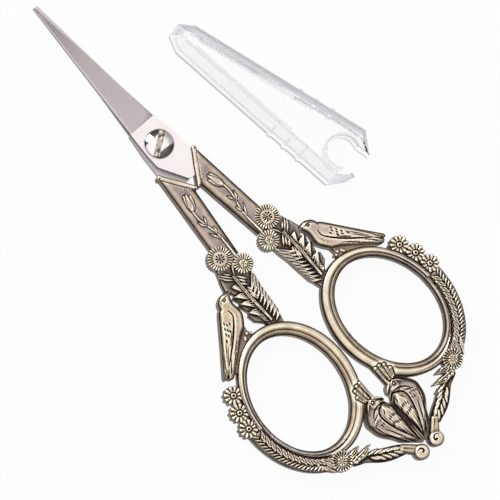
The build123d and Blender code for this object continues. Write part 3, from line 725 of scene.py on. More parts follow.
wax = Wax((-0.2, -13.0), (5.8, -5.0), 0.09)
wax.bar([collar_outer, collar_inner], (1.12, 1.22, 1.0), face, 0.46)
for end, end_radius in ((collar_outer, 0.64), (collar_inner, 0.53)):
    wax.bead(end, end_radius, face, 0.45)
    wax.pit((end[0] + 0.12, end[1] - 0.1), 0.2, 0.4, 0.1)
cast("collar", wax)

# %% [markdown]
# The shank is flat in the middle and falls away to both sides. The fall is a square of how far a point
# lies past a line beside the edge, so that it starts gently.

# %% Shank
wax = Wax((0.2, -29.0), (8.0, -5.4))
inner_side = [(0.88, -12.42), (shank_spread, shank_foot)]
outer_side = [(5.28, -5.82), (shank_spread + shank_width, shank_foot)]
bar = wax.patch([outer_side[0], *inner_side, outer_side[1]])
wax.lay(bar, shank_top, 0.3)
panel = np.full(wax.h.shape, np.inf)
for side_line, slope_width in ((inner_side, 1.35), (outer_side, 1.15)):
    beside = wax.stroke(side_line, (0, 0)) + slope_width
    wax.h = np.minimum(wax.h, shank_top - side_fall * np.clip(beside, 0, None) ** 2)
    panel = np.minimum(panel, -beside)
wax.tint(bar, 0.45)
wax.tint(panel, 0.9, 0.8)

# %% [markdown]
# The bud, its stem and leaves are tracery: a low ridge with a thin dark groove along both sides, which
# sets it off from the wiped panel. The groove is pressed first and the ridge is raised in it.

# %% Bud and stem on the shank
def outlined(places, widths, top):
    """Raised tracery with a thin dark groove along both sides."""
    shape = wax.stroke(places, widths)
    wax.score(shape + 0.15, 0.2, 0.12)
    wax.raise_on(shape, top, 0.2)


bud_foot = (4.5, -16.0)
bud_tips = [(2.62, -12.75), (3.18, -11.9), (3.82, -11.85)]
for tip in (bud_tips[0], bud_tips[2], bud_tips[1]):
    petal_line = [bud_foot, between(bud_foot, tip, 0.45), between(bud_foot, tip, 0.8), tip]
    outlined(petal_line, (0.35, 1.2, 1.05, 0.3), face - 0.03)
for first, second in zip(bud_tips, bud_tips[1:]):
    edge = between(first, second, 0.5)
    wax.cut([between(bud_foot, edge, 0.3), edge], (0.08, 0.14), 0.24, 0.1)
stem = smooth_run([(4.48, -15.8), (4.6, -17.6), (4.2, -20.0), (3.72, -22.0), (3.62, -24.5), (3.85, -28.4)])
outlined(stem, (0.45, 0.42, 0.46, 0.55), face - 0.06)
leaf_lines = [
    [(3.75, -23.9), (4.35, -22.7), (4.95, -21.5)],
    [(4.3, -20.0), (4.85, -19.2), (5.25, -18.0)],
    [(4.1, -19.6), (3.75, -18.9), (3.4, -18.0)],
    [(3.7, -22.6), (3.4, -21.8), (3.2, -20.9)],
]
for line in leaf_lines:
    outlined(line, (0.2, 0.5, 0.15), face - 0.06)
for curl in ((1.75, -11.55), (2.6, -11.0)):
    wax.boss(curl, 0.36, face - 0.15, 0.2)
    wax.pit(curl, 0.16, 0.3, 0.1)
wax.trim(wax.disc(large_place, large_radius - seam))
wax.trim(wax.disc(small_place, small_radius - seam))
cast("shank", wax)

# %% [markdown]
# ## Finger ring
# The ring is an oval band, broad beside the other handle and narrow under the garland. Its face is a
# polished bead between two fillets, so the height is a function of how far a point lies across the band.
# The side under the garland is lower and darker, with two grooves, and has a step that the garland fills.

# %% Finger ring
band_shares = [0, 0.08, 0.3, 0.36, 0.42, 0.6, 0.82, 0.93, 1]
band_heights = [1.5, 1.74, 1.97, 1.84, 2.02, 2.17, 2.04, 1.84, 1.5]
groove_shares, groove_half, groove_depth = (0.42, 0.74), 0.07, 0.2
garland_bearing, garland_drop, under_garland, under_quills = -20, 0.28, 1.35, 1.45

wax = Wax((0.0, -76.2), (26.0, -42.8), 0.13)
from_outside = in_ring(wax)
from_bore = -in_oval(wax.x, wax.y, ring_centre, ring_bore)
wax.lay(np.minimum(from_outside, from_bore), face - 0.2, 0.35)
band_share = np.clip(from_bore / np.maximum(from_bore + from_outside, 1e-6), 0, 1)
wax.h = np.interp(band_share, band_shares, band_heights)
bearing = np.arctan2(wax.y - outer_centre[1], wax.x - outer_centre[0])
garland_side = np.clip(1.6 * np.cos(bearing - math.radians(garland_bearing)) - 0.1, 0, 1)
for groove in groove_shares:
    wax.h -= groove_depth * garland_side * np.clip(1 - np.abs(band_share - groove) / groove_half, 0, 1)
wax.h = np.where(wax.inside > 0, wax.h, np.minimum(wax.h, 1.4))
wax.h -= garland_drop * garland_side
wax.sink(np.minimum(garland_lap + seam - from_outside, wax.patch(garland_sector)), under_garland)
wax.rose = garland_side
quills = [((2.3, -70.6), (2.35, -66.5)), ((3.1, -70.5), (3.35, -66.55)), ((3.8, -70.3), (4.3, -67.1)),
          ((4.3, -70.2), (4.85, -68.5))]
for foot, tip in quills:
    wax.sink(wax.stroke([foot, tip], (0.9, 1.15)), under_quills)
wax.trim(wax.disc(tail_place, tail_radius - seam))
cast("finger_ring", wax)

# %% [markdown]
# ## Songbird
# The bird stands on the ring with its tail along the band. Body and wing are two closed outlines in the
# bird's own axes, head first, in shares of its length. The wing is raised, with a dark line round it, and
# rows of short cuts stand for feathers, as a die sinker would tap them with one punch.

# %% Outlines of the songbird
songbird_length, songbird_turn = 18.8, -52.8
songbird_top, songbird_edge = 2.17, 1.8  # heights of its back and of its rim
songbird_origin = on_ring(77.25, 0.55)


def songbird(places):
    """Places in the songbird's own shares, set on the ring."""
    return turned(places, songbird_origin, songbird_turn, songbird_length)


def bird_outline(runs, place_on):
    """A closed outline of smooth runs that meet at corners."""
    line = []
    for run in runs:
        line += smooth_run(run, 5)[:-1] if len(run) > 2 else run[:1]
    return place_on(line)


songbird_shares = [
    [(-0.537, 0.137), (-0.511, 0.197)],
    [(-0.511, 0.197), (-0.476, 0.266), (-0.391, 0.306), (-0.314, 0.290)],
    [(-0.314, 0.290), (-0.253, 0.306), (0.106, 0.309), (0.465, 0.316)],
    [(0.465, 0.316), (0.489, 0.296), (0.478, 0.270)],
    [(0.478, 0.270), (0.452, 0.263)],
    [(0.452, 0.263), (0.486, 0.250), (0.479, 0.210)],
    [(0.479, 0.210), (0.410, 0.178), (0.010, 0.075)],
    [(0.010, 0.075), (-0.096, 0.027)],
    [(-0.096, 0.027), (-0.202, 0.027), (-0.285, 0.048), (-0.388, 0.136), (-0.470, 0.163)],
    [(-0.470, 0.163), (-0.537, 0.137)],
]
songbird_wing_shares = [
    [(-0.298, 0.206), (-0.280, 0.265), (-0.207, 0.290)],
    [(-0.207, 0.290), (0.056, 0.285), (0.287, 0.237)],
    [(0.287, 0.237), (0.017, 0.181), (-0.218, 0.152)],
    [(-0.218, 0.152), (-0.298, 0.206)],
]

# %% [markdown]
# The bird is a plump body with a raised wing over it. Thin places of the rounded body, such as the beak
# and the tail, are kept from sinking, as a casting has to fill there.

# %% Body and wing of the songbird
songbird_web_shares = [(-0.10, 0.05), (0.02, 0.10), (0.42, 0.20), (0.40, 0.10), (0.0, -0.07)]

wax = Wax((9.2, -48.4), (23.9, -32.6), 0.1)
wax.lay(wax.patch(songbird(songbird_web_shares)), 1.0, 0.2)
body = wax.patch(bird_outline(songbird_shares, songbird))
wing = wax.patch(bird_outline(songbird_wing_shares, songbird))
wax.lay(body, songbird_top, 0.9)
wax.h = np.where(wax.inside > -wax.pitch, np.maximum(wax.h, songbird_edge), wax.h)
wax.raise_on(wing, face, 0.55)
wing_line = songbird([(-0.300, 0.200), (-0.225, 0.148), (-0.02, 0.162), (0.18, 0.205), (0.33, 0.243)])
wax.cut(smooth_run(wing_line), (0.24, 0.4, 0.42, 0.2), 0.5, 0.15)

# %% [markdown]
# Feathers are short cuts in rows, longer towards the tail. The eye is a boss with a pit and a dot in
# it, and the feet are small beads that grip the ring.

# %% Feathers, eye and feet
wing_feathers = [
    ((-0.02, 0.255), (0.30, 0.262)), ((0.06, 0.232), (0.34, 0.25)), ((0.12, 0.29), (0.42, 0.285)),
    ((0.2, 0.2), (0.45, 0.235)), ((0.3, 0.285), (0.47, 0.255)),
]
for start, end in wing_feathers:
    wax.cut(songbird([start, end]), (0.06, 0.22, 0.1), 0.24, 0.09)
shoulder_marks = [
    (-0.17, 0.262), (-0.155, 0.232), (-0.11, 0.258), (-0.095, 0.228), (-0.08, 0.2), (-0.045, 0.25),
    (-0.03, 0.22), (0.03, 0.248), (-0.165, 0.2),
]
for u, v in shoulder_marks:
    wax.cut(songbird([(u, v), (u + 0.036, v - 0.008)]), (0.14, 0.4, 0.16), 0.45, 0.12)
breast_marks = [(-0.215, 0.083), (-0.19, 0.1), (-0.165, 0.086), (-0.24, 0.1)]
for u, v in breast_marks:
    wax.cut(songbird([(u, v), (u + 0.018, v + 0.01)]), (0.06, 0.18, 0.06), 0.2, 0.08)
tail_and_flank = [
    ((0.36, 0.272), (0.46, 0.298)), ((0.33, 0.247), (0.47, 0.255)), ((0.3, 0.215), (0.46, 0.222)),
    ((-0.07, 0.175), (0.1, 0.205)), ((0.0, 0.12), (0.2, 0.168)), ((0.12, 0.135), (0.36, 0.19)),
]
for start, end in tail_and_flank:
    wax.cut(songbird([start, end]), (0.08, 0.26, 0.16), 0.32, 0.1)
eye = songbird([(-0.418, 0.232)])[0]
wax.boss(eye, 0.6, 2.18, 0.25)
wax.pit(eye, 0.4, 0.5, 0.1)
wax.boss(eye, 0.18, 2.1, 0.14)
brow = songbird([(-0.525, 0.172), (-0.47, 0.2), (-0.42, 0.262), (-0.37, 0.272)])
wax.cut(smooth_run(brow), (0.14, 0.28, 0.16), 0.34, 0.12)
for toe in ((12.6, -42.95), (13.3, -42.6), (14.2, -43.0), (14.45, -43.35)):
    wax.bead(toe, 0.36, 2.0, 0.3)
wax.bar([(13.0, -41.2), (13.1, -42.8)], (0.7, 0.5), 1.7, 0.25)
wax.bar([(14.0, -41.4), (14.2, -43.0)], (0.6, 0.5), 1.7, 0.25)
wax.trim(in_ring(wax))
cast("songbird", wax)

# %% [markdown]
# ## Frond
# A feather frond grows from the ring to the daisies. It has a doubled midrib, lobes of slender leaflets
# on the side of the bird, and close slanting barbs on the other side. Each barb is one stroke, raised from
# a low floor that keeps the stain and takes painted shade.

# %% Floor, midrib and lobes of the frond
frond_shares = [
    (-0.017, -0.088), (0.092, -0.182), (0.173, -0.379), (0.274, -0.421), (0.301, -0.322), (0.436, -0.426),
    (0.457, -0.324), (0.553, -0.426), (0.562, -0.294), (0.635, -0.346), (0.674, -0.431), (0.780, -0.346),
    (0.913, -0.215), (0.941, 0.125), (0.824, 0.485), (0.640, 0.647), (0.537, 0.596), (0.434, 0.529),
    (0.267, 0.481), (0.100, 0.419), (-0.067, 0.284), (-0.097, 0.137),
]
frond_foot = on_ring(106, -0.425)
frond_head = (large_place[0] + large_radius * 0.35, large_place[1])
frond_length, frond_width = math.dist(frond_foot, frond_head), 6.8
frond_turn = math.degrees(math.atan2(frond_head[1] - frond_foot[1], frond_head[0] - frond_foot[0]))

wax = Wax((2.9, -46.2), (11.4, -27.2), 0.1)
frond_corners = turned([(u * frond_length, v * frond_width) for u, v in frond_shares], frond_foot, frond_turn)
floor = wax.patch(frond_corners)
wax.lay(floor, 1.68, 0.3)
wax.tint(floor, 0.8)
for offset in (-0.16, 0.2):
    midrib = [(7.25 + offset, -31.6), (7.5 + offset, -37.5), (7.3 + offset * 0.7, -43.9)]
    wax.ridge(midrib, (0.24, 0.3, 0.24), face - 0.04)
lobes = [
    ((7.95, -35.4), (7.9, -33.6), (9.2, -33.0)), ((7.95, -37.5), (7.95, -35.8), (10.35, -34.75)),
    ((8.0, -39.7), (8.0, -37.9), (10.4, -36.65)), ((7.9, -42.4), (8.0, -40.2), (10.3, -39.2)),
]
for low_root, high_root, tip in lobes:
    for step, pull in ((0, 0.0), (0.34, 0.08), (0.67, 0.2), (1, 0.38)):
        root = between(low_root, high_root, step)
        wax.ridge([root, between(tip, root, pull)], (0.16, 0.34, 0.34, 0.14), face - 0.02 - 0.06 * step)
for row in range(5):
    low_barb = [(7.9, -42.0 - 0.45 * row), (9.1 - 0.1 * row, -40.9 - 0.5 * row)]
    wax.ridge(low_barb, (0.12, 0.3, 0.12), face - 0.14)

# %% [markdown]
# On the outer side, the barbs lie close and slant down to the midrib. Each one is a bent stroke with a
# fine cut along its back. Loose leaflets fill the places beside the midrib and at the head, where the
# frond meets the daisies.

# %% Barbs and leaflets of the frond
plume_first, plume_pitch = -33.3, 1.02
for step in range(9):
    y, lean_out = plume_first - plume_pitch * step, 0.14 * max(step - 5, 0)
    plume = [(3.45 + lean_out, y + 0.2), (4.2 + lean_out, y - 1.1), (5.4, y - 2.4), (6.7, y - 3.2)]
    plume = smooth_run(plume, 3)
    wax.ridge(plume, (0.2, 0.8, 0.7, 0.2), face - 0.06)
    wax.cut(plume[1:-2], (0.1, 0.28, 0.2, 0.05), 0.26, 0.1)
leaflets_beside_midrib = [
    [(5.35, -33.9), (6.85, -31.9)], [(5.9, -34.3), (7.0, -32.6)], [(6.2, -34.9), (7.05, -33.7)],
    [(6.2, -38.2), (6.55, -36.8), (6.9, -35.6)], [(6.6, -38.3), (7.0, -36.6)], [(6.0, -36.6), (6.6, -35.2)],
]
for places in leaflets_beside_midrib:
    wax.ridge(places, (0.16, 0.5, 0.44, 0.14), face - 0.06)
leaflets_at_head = [
    [(7.7, -31.7), (8.8, -30.5), (9.75, -29.2)], [(7.75, -32.4), (9.0, -31.2), (9.95, -29.6)],
    [(7.6, -31.0), (8.6, -29.9)], [(5.9, -29.6), (6.6, -30.9), (6.9, -31.6)], [(5.2, -28.9), (5.9, -30.2)],
]
for places in leaflets_at_head:
    wax.ridge(places, (0.16, 0.42, 0.34, 0.12), face - 0.12)
wax.tint(wax.patch([(8.6, -32.9), (10.2, -30.6), (10.9, -33.2), (9.3, -33.3)]), 1.0)
wax.lay(wax.patch([(8.5, -32.6), (10.1, -30.4), (11.0, -33.2), (9.3, -33.3)]), 1.55, 0.3)
wax.trim(wax.disc(large_place, large_radius - seam))
wax.trim(wax.disc(small_place, small_radius - seam))
wax.trim(in_ring(wax))
cast("frond", wax)

# %% [markdown]
# ## Garland
# Two rows of leaves run on a band that laps over the ring's outer edge. Broad inner leaves with a vein lie
# across that edge, and thin outer quills slant out of the band. They are placed by their turn round the
# oval, so that they keep an even pitch on the curve.

# %% Garland
wax = Wax((17.2, -78.4), (28.6, -58.6), 0.1)
outside = garland_lap - in_ring(wax)
band = np.minimum(outside, in_ring(wax, 2.4))
band = np.minimum(band, wax.patch(garland_sector))
wax.lay(band, 1.78, 0.35)
wax.tint(band, 0.8)
outer_count, inner_count = 23, 13
for step in range(outer_count):
    turn = garland_first + 4 + (garland_last - garland_first - 4) * (step + 0.5) / outer_count
    root, tip = on_ring(turn - 1.4, 0.95), on_ring(turn + 2.6, 2.0)
    wax.cut([root, tip], (0.5, 0.66, 0.36), 0.22, 0.12)
    wax.ridge([root, between(root, tip, 0.5), tip], (0.2, 0.46, 0.22), face - 0.1, 0.22)
for step in range(inner_count):
    turn = garland_first + 2 + (garland_last - garland_first - 2) * (step + 0.4) / inner_count
    root, tip = on_ring(turn - 3.8, 0.75), on_ring(turn + 3.4, -0.4)
    leaf_places = [root, between(root, tip, 0.5), tip]
    wax.cut(leaf_places, (0.6, 1.3, 0.6), 0.3, 0.14)
    wax.ridge(leaf_places, (0.34, 1.04, 0.3), face, 0.24)
    wax.cut(leaf_places, (0.08, 0.34, 0.08), 0.26, 0.1)
for root, tip in (((18.4, -76.9), (19.6, -72.9)), ((18.9, -77.0), (21.0, -73.4))):
    wax.bar([root, between(root, tip, 0.5), tip], (0.3, 1.0, 0.25), face - 0.02, 0.35)
    wax.cut([between(root, tip, 0.1), between(root, tip, 0.85)], (0.08, 0.2, 0.08), 0.2, 0.09)
wax.trim(in_ring(wax, -garland_lap))
wax.trim(wax.disc(tail_place, tail_radius - seam))
for place in blossom_places:
    wax.trim(wax.disc(place, blossom_radius - 0.35))
cast("garland", wax)

# %% [markdown]
# ## Crested bird and crest
# In the lower corner a crested bird hangs head up, its straight side beside its twin on the other handle.
# Four quills join its head to the ring. The wing is a long oval with two rows of punched marks, and a
# second, darker wing shows beside it.

# %% Outlines of the crested bird
crested_length = 14.9
crested_top, crested_edge = 1.82, 1.45  # heights of its body and of its rim
crested_origin = (0.15 + crested_length * 0.198, -70.3)


def crested(places):
    """Places in the crested bird's own shares, head up in the lower corner."""
    return turned(places, crested_origin, -90, crested_length)


crested_shares = [
    [(0.148, -0.171), (0.060, -0.121), (0.0, 0.0), (0.034, 0.128)],
    [(0.034, 0.128), (0.128, 0.201), (0.262, 0.275), (0.362, 0.275), (0.517, 0.235), (0.664, 0.128),
     (0.779, 0.060)],
    [(0.779, 0.060), (0.993, -0.185)],
    [(0.993, -0.185), (0.940, -0.198)],
    [(0.940, -0.198), (0.262, -0.198)],
    [(0.262, -0.198), (0.181, -0.148)],
    [(0.181, -0.148), (0.148, -0.171)],
]
crested_wing_shares = [
    [(0.302, -0.185), (0.181, -0.081), (0.262, 0.020), (0.383, 0.034)],
    [(0.383, 0.034), (0.550, 0.007), (0.752, -0.074), (0.940, -0.161)],
    [(0.940, -0.161), (0.302, -0.185)],
]

# %% [markdown]
# Body, head and near wing are three swellings, each higher than the one below. A dark groove follows
# the rim of the wing, and the far wing is a lower, rosy patch.

# %% Body and wings of the crested bird
wax = Wax((0.0, -85.6), (7.6, -70.0), 0.09)
crested_line = bird_outline(crested_shares, crested)
body = wax.patch(crested_line)
wing = wax.patch(bird_outline(crested_wing_shares, crested))
wax.lay(body, crested_top, 1.4)
wax.h = np.where(wax.inside > -wax.pitch, np.maximum(wax.h, crested_edge), wax.h)
wax.tint(body, 0.6)
wax.boss((2.9, -72.0), 1.75, 2.12, 1.3)
wax.raise_on(wing, face, 1.1)
wax.rose = np.where(wing > 0.1, 0.0, wax.rose)
wing_rim = smooth_run([(0.3, -73.9), (1.5, -72.95), (3.2, -73.7), (3.75, -75.0), (3.55, -76.8), (2.9, -79.0),
                       (1.9, -81.4), (0.7, -83.9)])
wax.cut(wing_rim, (0.36, 0.46, 0.36, 0.26), 0.5, 0.16)
far_wing = [(4.1, -74.4), (5.2, -74.7), (6.3, -75.2), (5.9, -77.2), (4.6, -79.6), (3.2, -82.0),
            (2.3, -83.2), (3.4, -79.6), (4.0, -77.0)]
wax.raise_on(wax.patch(smooth_run(far_wing, 3, True)), 1.86, 0.25)
wax.tint(wax.patch([(3.6, -71.8), (5.4, -72.0), (6.6, -74.2), (5.6, -75.0), (4.0, -74.6)]), 0.9)

# %% [markdown]
# The marks come in kinds, from the short punched ones in rows on the wing to the long lines of the
# quill feathers. Each kind is one list and one loop, so that a mark is easy to move.

# %% Feathers of the crested bird
wing_marks = [
    (0.85, -76.6), (1.35, -76.3), (1.75, -76.2), (2.25, -76.2), (2.7, -76.5), (0.75, -78.3),
    (1.2, -78.1), (1.7, -78.0), (2.15, -77.8), (2.6, -77.6), (2.9, -78.0),
]
for x, y in wing_marks:
    wax.cut([(x, y + 0.42), (x - 0.1, y - 0.42)], (0.14, 0.36, 0.18), 0.42, 0.12)
deep_lines = [
    ((3.9, -74.0), (5.8, -74.9)), ((6.3, -75.4), (5.6, -78.0)), ((5.6, -78.2), (4.0, -81.0)),
    ((2.3, -74.0), (2.9, -75.2)), ((1.3, -73.9), (1.0, -75.2)), ((0.6, -80.6), (0.45, -84.6)),
]
for start, end in deep_lines:
    wax.cut([start, between(start, end, 0.5), end], (0.1, 0.36, 0.12), 0.42, 0.12)
far_wing_marks = [(4.45, -75.3), (4.95, -75.2), (5.4, -75.4), (5.85, -75.6), (4.3, -76.3), (4.8, -76.4)]
for x, y in far_wing_marks:
    wax.cut([(x, y + 0.3), (x - 0.05, y - 0.4)], (0.1, 0.34, 0.12), 0.4, 0.11)
long_feathers = [
    ((0.9, -79.6), (0.7, -84.2)), ((1.7, -79.4), (1.0, -83.9)), ((2.4, -79.0), (1.4, -82.8)),
    ((4.2, -78.6), (2.6, -81.8)), ((3.6, -80.8), (1.6, -83.9)), ((4.7, -77.6), (3.6, -79.6)),
]
for start, end in long_feathers:
    wax.cut([start, end], (0.12, 0.3, 0.12), 0.36, 0.1)

# %% [markdown]
# The head carries a large ringed eye, a beak that lies along the straight side, a groove under the
# chin, and a ridge over the nape.

# %% Head of the crested bird
eye = (3.15, -71.45)
wax.boss(eye, 0.78, face, 0.28)
wax.pit(eye, 0.5, 0.6, 0.12)
wax.boss(eye, 0.22, 2.12, 0.16)
wax.ridge(smooth_run([(2.4, -70.75), (1.4, -71.4), (0.35, -72.3)]), (0.6, 0.6, 0.25), 2.18, 0.28)
wax.cut(smooth_run([(2.5, -71.6), (1.5, -71.8), (0.4, -72.65)]), (0.16, 0.3, 0.14), 0.5, 0.12)
chin = smooth_run([(1.2, -72.9), (2.6, -72.65), (4.2, -73.2), (5.3, -74.3)])
wax.cut(chin, (0.2, 0.44, 0.2), 0.45, 0.15)
wax.ridge(smooth_run([(3.3, -70.6), (4.5, -71.6), (5.5, -72.9)]), (0.3, 0.4, 0.1), 2.02, 0.25)
wax.trim(in_ring(wax))
cast("crested_bird", wax)

# %% [markdown]
# The crest is a casting of its own, because it joins the bird to the ring: four quills, each with a bead
# at its tip, on a low web. They stand in the places that the ring was sunk for.

# %% Crest
wax = Wax((0.8, -71.0), (5.6, -65.4), 0.09)
crest_shares = [(0.06, -0.085), (-0.30, -0.09), (-0.30, 0.10), (-0.19, 0.15), (0.05, 0.12)]
wax.lay(wax.patch(crested(crest_shares)), 1.2, 0.2)
for foot, tip in quills:
    wax.bar([foot, tip], (0.5, 0.6, 0.6), 2.0, 0.25)
    wax.cut([foot, between(foot, tip, 0.9)], (0.12, 0.16, 0.12), 0.3, 0.08)
    wax.bead(tip, 0.42, face, 0.38)
wax.trim(wax.patch(crested_line))
cast("crest", wax)

# %% [markdown]
# ## Scroll and spray
# The casting ends in a small curl below the bird's tail. A spray of leaves in herringbone rises from it to
# the tail daisy, with two free leaves and four beads at its head.

# %% Scroll
scroll_place, scroll_radius = (0.15 + 0.25 + 1.75, -86.3), 1.75
curl_start, curl_growth, curl_from, curl_sweep = 0.15, 0.95, 250, 230
wax = Wax((0.2, -88.4), (5.6, -82.2), 0.09)
wax.bead(scroll_place, scroll_radius, face, 0.75)
wax.bar([(2.5, -85.4), (4.7, -83.0)], (2.3, 1.9), 1.9, 0.7)
curl = []
for t in np.linspace(0, 1, 24):
    way_out, turn = curl_start + curl_growth * t, math.radians(curl_from - curl_sweep * t)
    curl.append((scroll_place[0] + way_out * math.cos(turn), scroll_place[1] + way_out * math.sin(turn)))
wax.cut(curl, (0.5, 0.42, 0.3, 0.12), 0.5, 0.2)
wax.cut([(3.0, -84.6), (4.6, -83.1)], (0.1, 0.3), 0.2, 0.12)
wax.trim(wax.patch(crested_line))
cast("scroll", wax)

# %% [markdown]
# The spray is a low floor with ten slim leaves in two rows, each with a vein. Two broad free leaves and
# the beads close it at the tail daisy.

# %% Spray
wax = Wax((3.9, -85.0), (15.6, -75.6), 0.1)
spray_floor = [
    (4.3, -82.4), (5.6, -81.3), (7.6, -80.2), (9.6, -79.1), (11.6, -78.9), (13.9, -77.6), (15.2, -77.3),
    (14.9, -79.0), (12.6, -80.0), (10.3, -82.0), (8.3, -83.3), (6.0, -84.1), (4.9, -84.3),
]
wax.lay(wax.patch(smooth_run(spray_floor, 2, True)), 1.4, 0.3)
upper_leaves = [
    ((11.4, -79.0), (8.9, -79.35)), ((10.1, -79.75), (8.2, -80.1)), ((9.3, -80.4), (6.9, -80.95)),
    ((7.8, -81.15), (5.6, -81.8)), ((6.4, -81.9), (4.9, -82.5)),
]
lower_leaves = [
    ((11.2, -79.8), (10.1, -81.2)), ((10.2, -80.4), (9.1, -82.1)), ((9.0, -81.0), (7.9, -82.7)),
    ((7.8, -81.7), (6.6, -83.4)), ((6.6, -82.2), (5.4, -83.6)),
]
for root, tip in upper_leaves + lower_leaves:
    wax.bar([root, between(root, tip, 0.45), tip], (0.3, 0.72, 0.3), face - 0.1, 0.3)
    wax.cut([between(root, tip, 0.2), between(root, tip, 0.8)], (0.05, 0.14, 0.05), 0.14, 0.07)
free_leaves = [[(14.9, -76.9), (13.4, -76.7), (11.6, -76.25)], [(14.4, -78.1), (12.0, -78.2), (9.5, -77.65)]]
for places in free_leaves:
    wax.bar(places, (1.0, 1.5, 0.25), face - 0.1, 0.3)
    wax.cut(places, (0.5, 0.85, 0.1), 0.28, 0.14)
    wax.ridge(places, (0.22, 0.24, 0.08), face - 0.14, 0.12)
for bead in ((13.5, -77.7), (12.25, -78.35), (13.3, -78.45), (14.15, -78.5)):
    wax.bead(bead, 0.36, face - 0.02, 0.32)
wax.trim(in_ring(wax))
wax.trim(wax.disc(tail_place, tail_radius - seam))
wax.trim(wax.patch(crested_line))
cast("spray", wax)

# %% [markdown]
# ## Steel
# The blades are stamped from sheet and ground. The flat by the screw is polished almost to a mirror, and
# the ground face keeps fine grinding lines across the blade. Where the surface faces sideways, on the edges,
# a painted shade makes it almost black. All three are on one solid, so one material finds them by place
# along the blade and by which way the surface faces.

# %% Ground and polished steel
grind_line = 5.45 * MM  # from the screw, where the grinding starts
inner_half = 0.4 * MM  # from the middle plane, on either side, where the faces that meet lie

steel = bpy.data.materials.new("ground_steel")
tree = Tree(steel)
coordinates = tree.add("ShaderNodeTexCoord").outputs
parts, facing = tree.add("ShaderNodeSeparateXYZ"), tree.add("ShaderNodeSeparateXYZ")
tree.link(coordinates["Object"], parts.inputs[0])
tree.link(coordinates["Normal"], facing.inputs[0])
beyond = tree.number("SUBTRACT", parts.outputs["Y"], grind_line)
ground = tree.number("MULTIPLY", beyond, 8000, clamp=True)
# Painted shade: surfaces that face sideways, the edges, are mixed towards near black.
sideways_painted_shade = tree.ramp(tree.number("ABSOLUTE", facing.outputs["Z"]), [(0.25, 1.0), (0.8, 0.0)])
lines = tree.noise(coordinates["Object"], 900, 3, 0.6, (0.6, 9.0, 1.0))
cloud = tree.noise(coordinates["Object"], 130, 2)
tone = tree.ramp(lines, [(0.3, (0.52, 0.46, 0.465)), (0.7, (0.62, 0.555, 0.56))])
polished = tree.ramp(cloud, [(0.3, (0.80, 0.745, 0.735)), (0.7, (0.85, 0.80, 0.79))])
inner_face = tree.number("LESS_THAN", tree.number("ABSOLUTE", parts.outputs["Z"]), inner_half)
unpolished = tree.number("MAXIMUM", ground, inner_face)
steel_colour = tree.mix(sideways_painted_shade, tree.mix(unpolished, polished, tone), (0.06, 0.06, 0.062))
steel_gloss = tree.number("MULTIPLY_ADD", unpolished, 0.3, 0.12)
tree.surface(steel_colour, steel_gloss, 0.8, lines, 0.12, 0.00002)


def soften(piece, finish, width, segments, angle):
    """Gives a solid of the frame its finish and rounds its edges, without touching its mesh."""
    piece.data.materials.clear()
    piece.data.materials.append(finish)
    weld, bevel = piece.modifiers.new("weld", "WELD"), piece.modifiers.new("soft_edges", "BEVEL")
    weld.merge_threshold = 0.002 * MM
    bevel.width, bevel.segments, bevel.limit_method = width * MM, segments, "ANGLE"
    bevel.angle_limit = math.radians(angle)
    print(piece.name, len(piece.data.vertices), "points")


for name in ("top_blade", "bottom_blade"):
    soften(nodes[name], steel, 0.05, 2, 30)

# %% [markdown]
# ## Pivot screw
# The screw's domed head is turned and polished bright, with a straight slot for a coin or a screwdriver.
# The head comes from the same wax grid, turned so that its rows run along the slot. Its shank is a short
# lathe turning that ends in a chamfer behind the lower blade.

# %% Head of the screw
screw_radius, shank_radius, slot_turn = 3.25, 1.5, 35
seat_height, dome_height, rim_height, shank_end = 1.55, 1.25, 0.35, -1.5
slot_width, slot_depth, slot_low = 1.2, 0.6, 1.9
edge_width, edge_drop, chamfer = 0.25, 0.12, 0.15
head_top = seat_height + dome_height
dome_sphere = (screw_radius**2 + (dome_height - rim_height) ** 2) / (2 * (dome_height - rim_height))

wax = Wax((-screw_radius, -screw_radius), (screw_radius, screw_radius), 0.1)
wax.bead((0, 0), screw_radius, head_top, 0.01)
out = np.minimum(np.hypot(wax.x, wax.y), screw_radius)
wax.h = head_top - dome_sphere + np.sqrt(dome_sphere**2 - out**2)
wax.h -= edge_drop * np.clip((out - screw_radius + edge_width) / edge_width, 0, 1) ** 2
on_slot = np.abs(wax.y) < slot_width / 2 - 0.01
wax.h = np.where(on_slot, np.minimum(wax.h, head_top - slot_depth), wax.h)
screw_mesh = casting_mesh("pivot_screw", wax, seat_height)

# %% [markdown]
# A lathe makes the shank, so here it is a profile of radius and height, turned about the axis. It joins
# the head in one mesh, and the walls and floor of the slot get a number of their own for their finish.

# %% Shank of the screw
def turn_profile(profile, steps=48):
    """A turned form about the Z axis from places of radius and height, both ends closed."""
    places = [(r * math.cos(2 * math.pi * k / steps), r * math.sin(2 * math.pi * k / steps), z)
              for r, z in profile for k in range(steps)]
    faces = []
    for i in range(len(profile) - 1):
        row, row_above = i * steps, (i + 1) * steps
        faces += [(row + k, row + (k + 1) % steps, row_above + (k + 1) % steps, row_above + k)
                  for k in range(steps)]
    faces += [tuple(range(steps))[::-1], tuple((len(profile) - 1) * steps + k for k in range(steps))]
    return places, faces


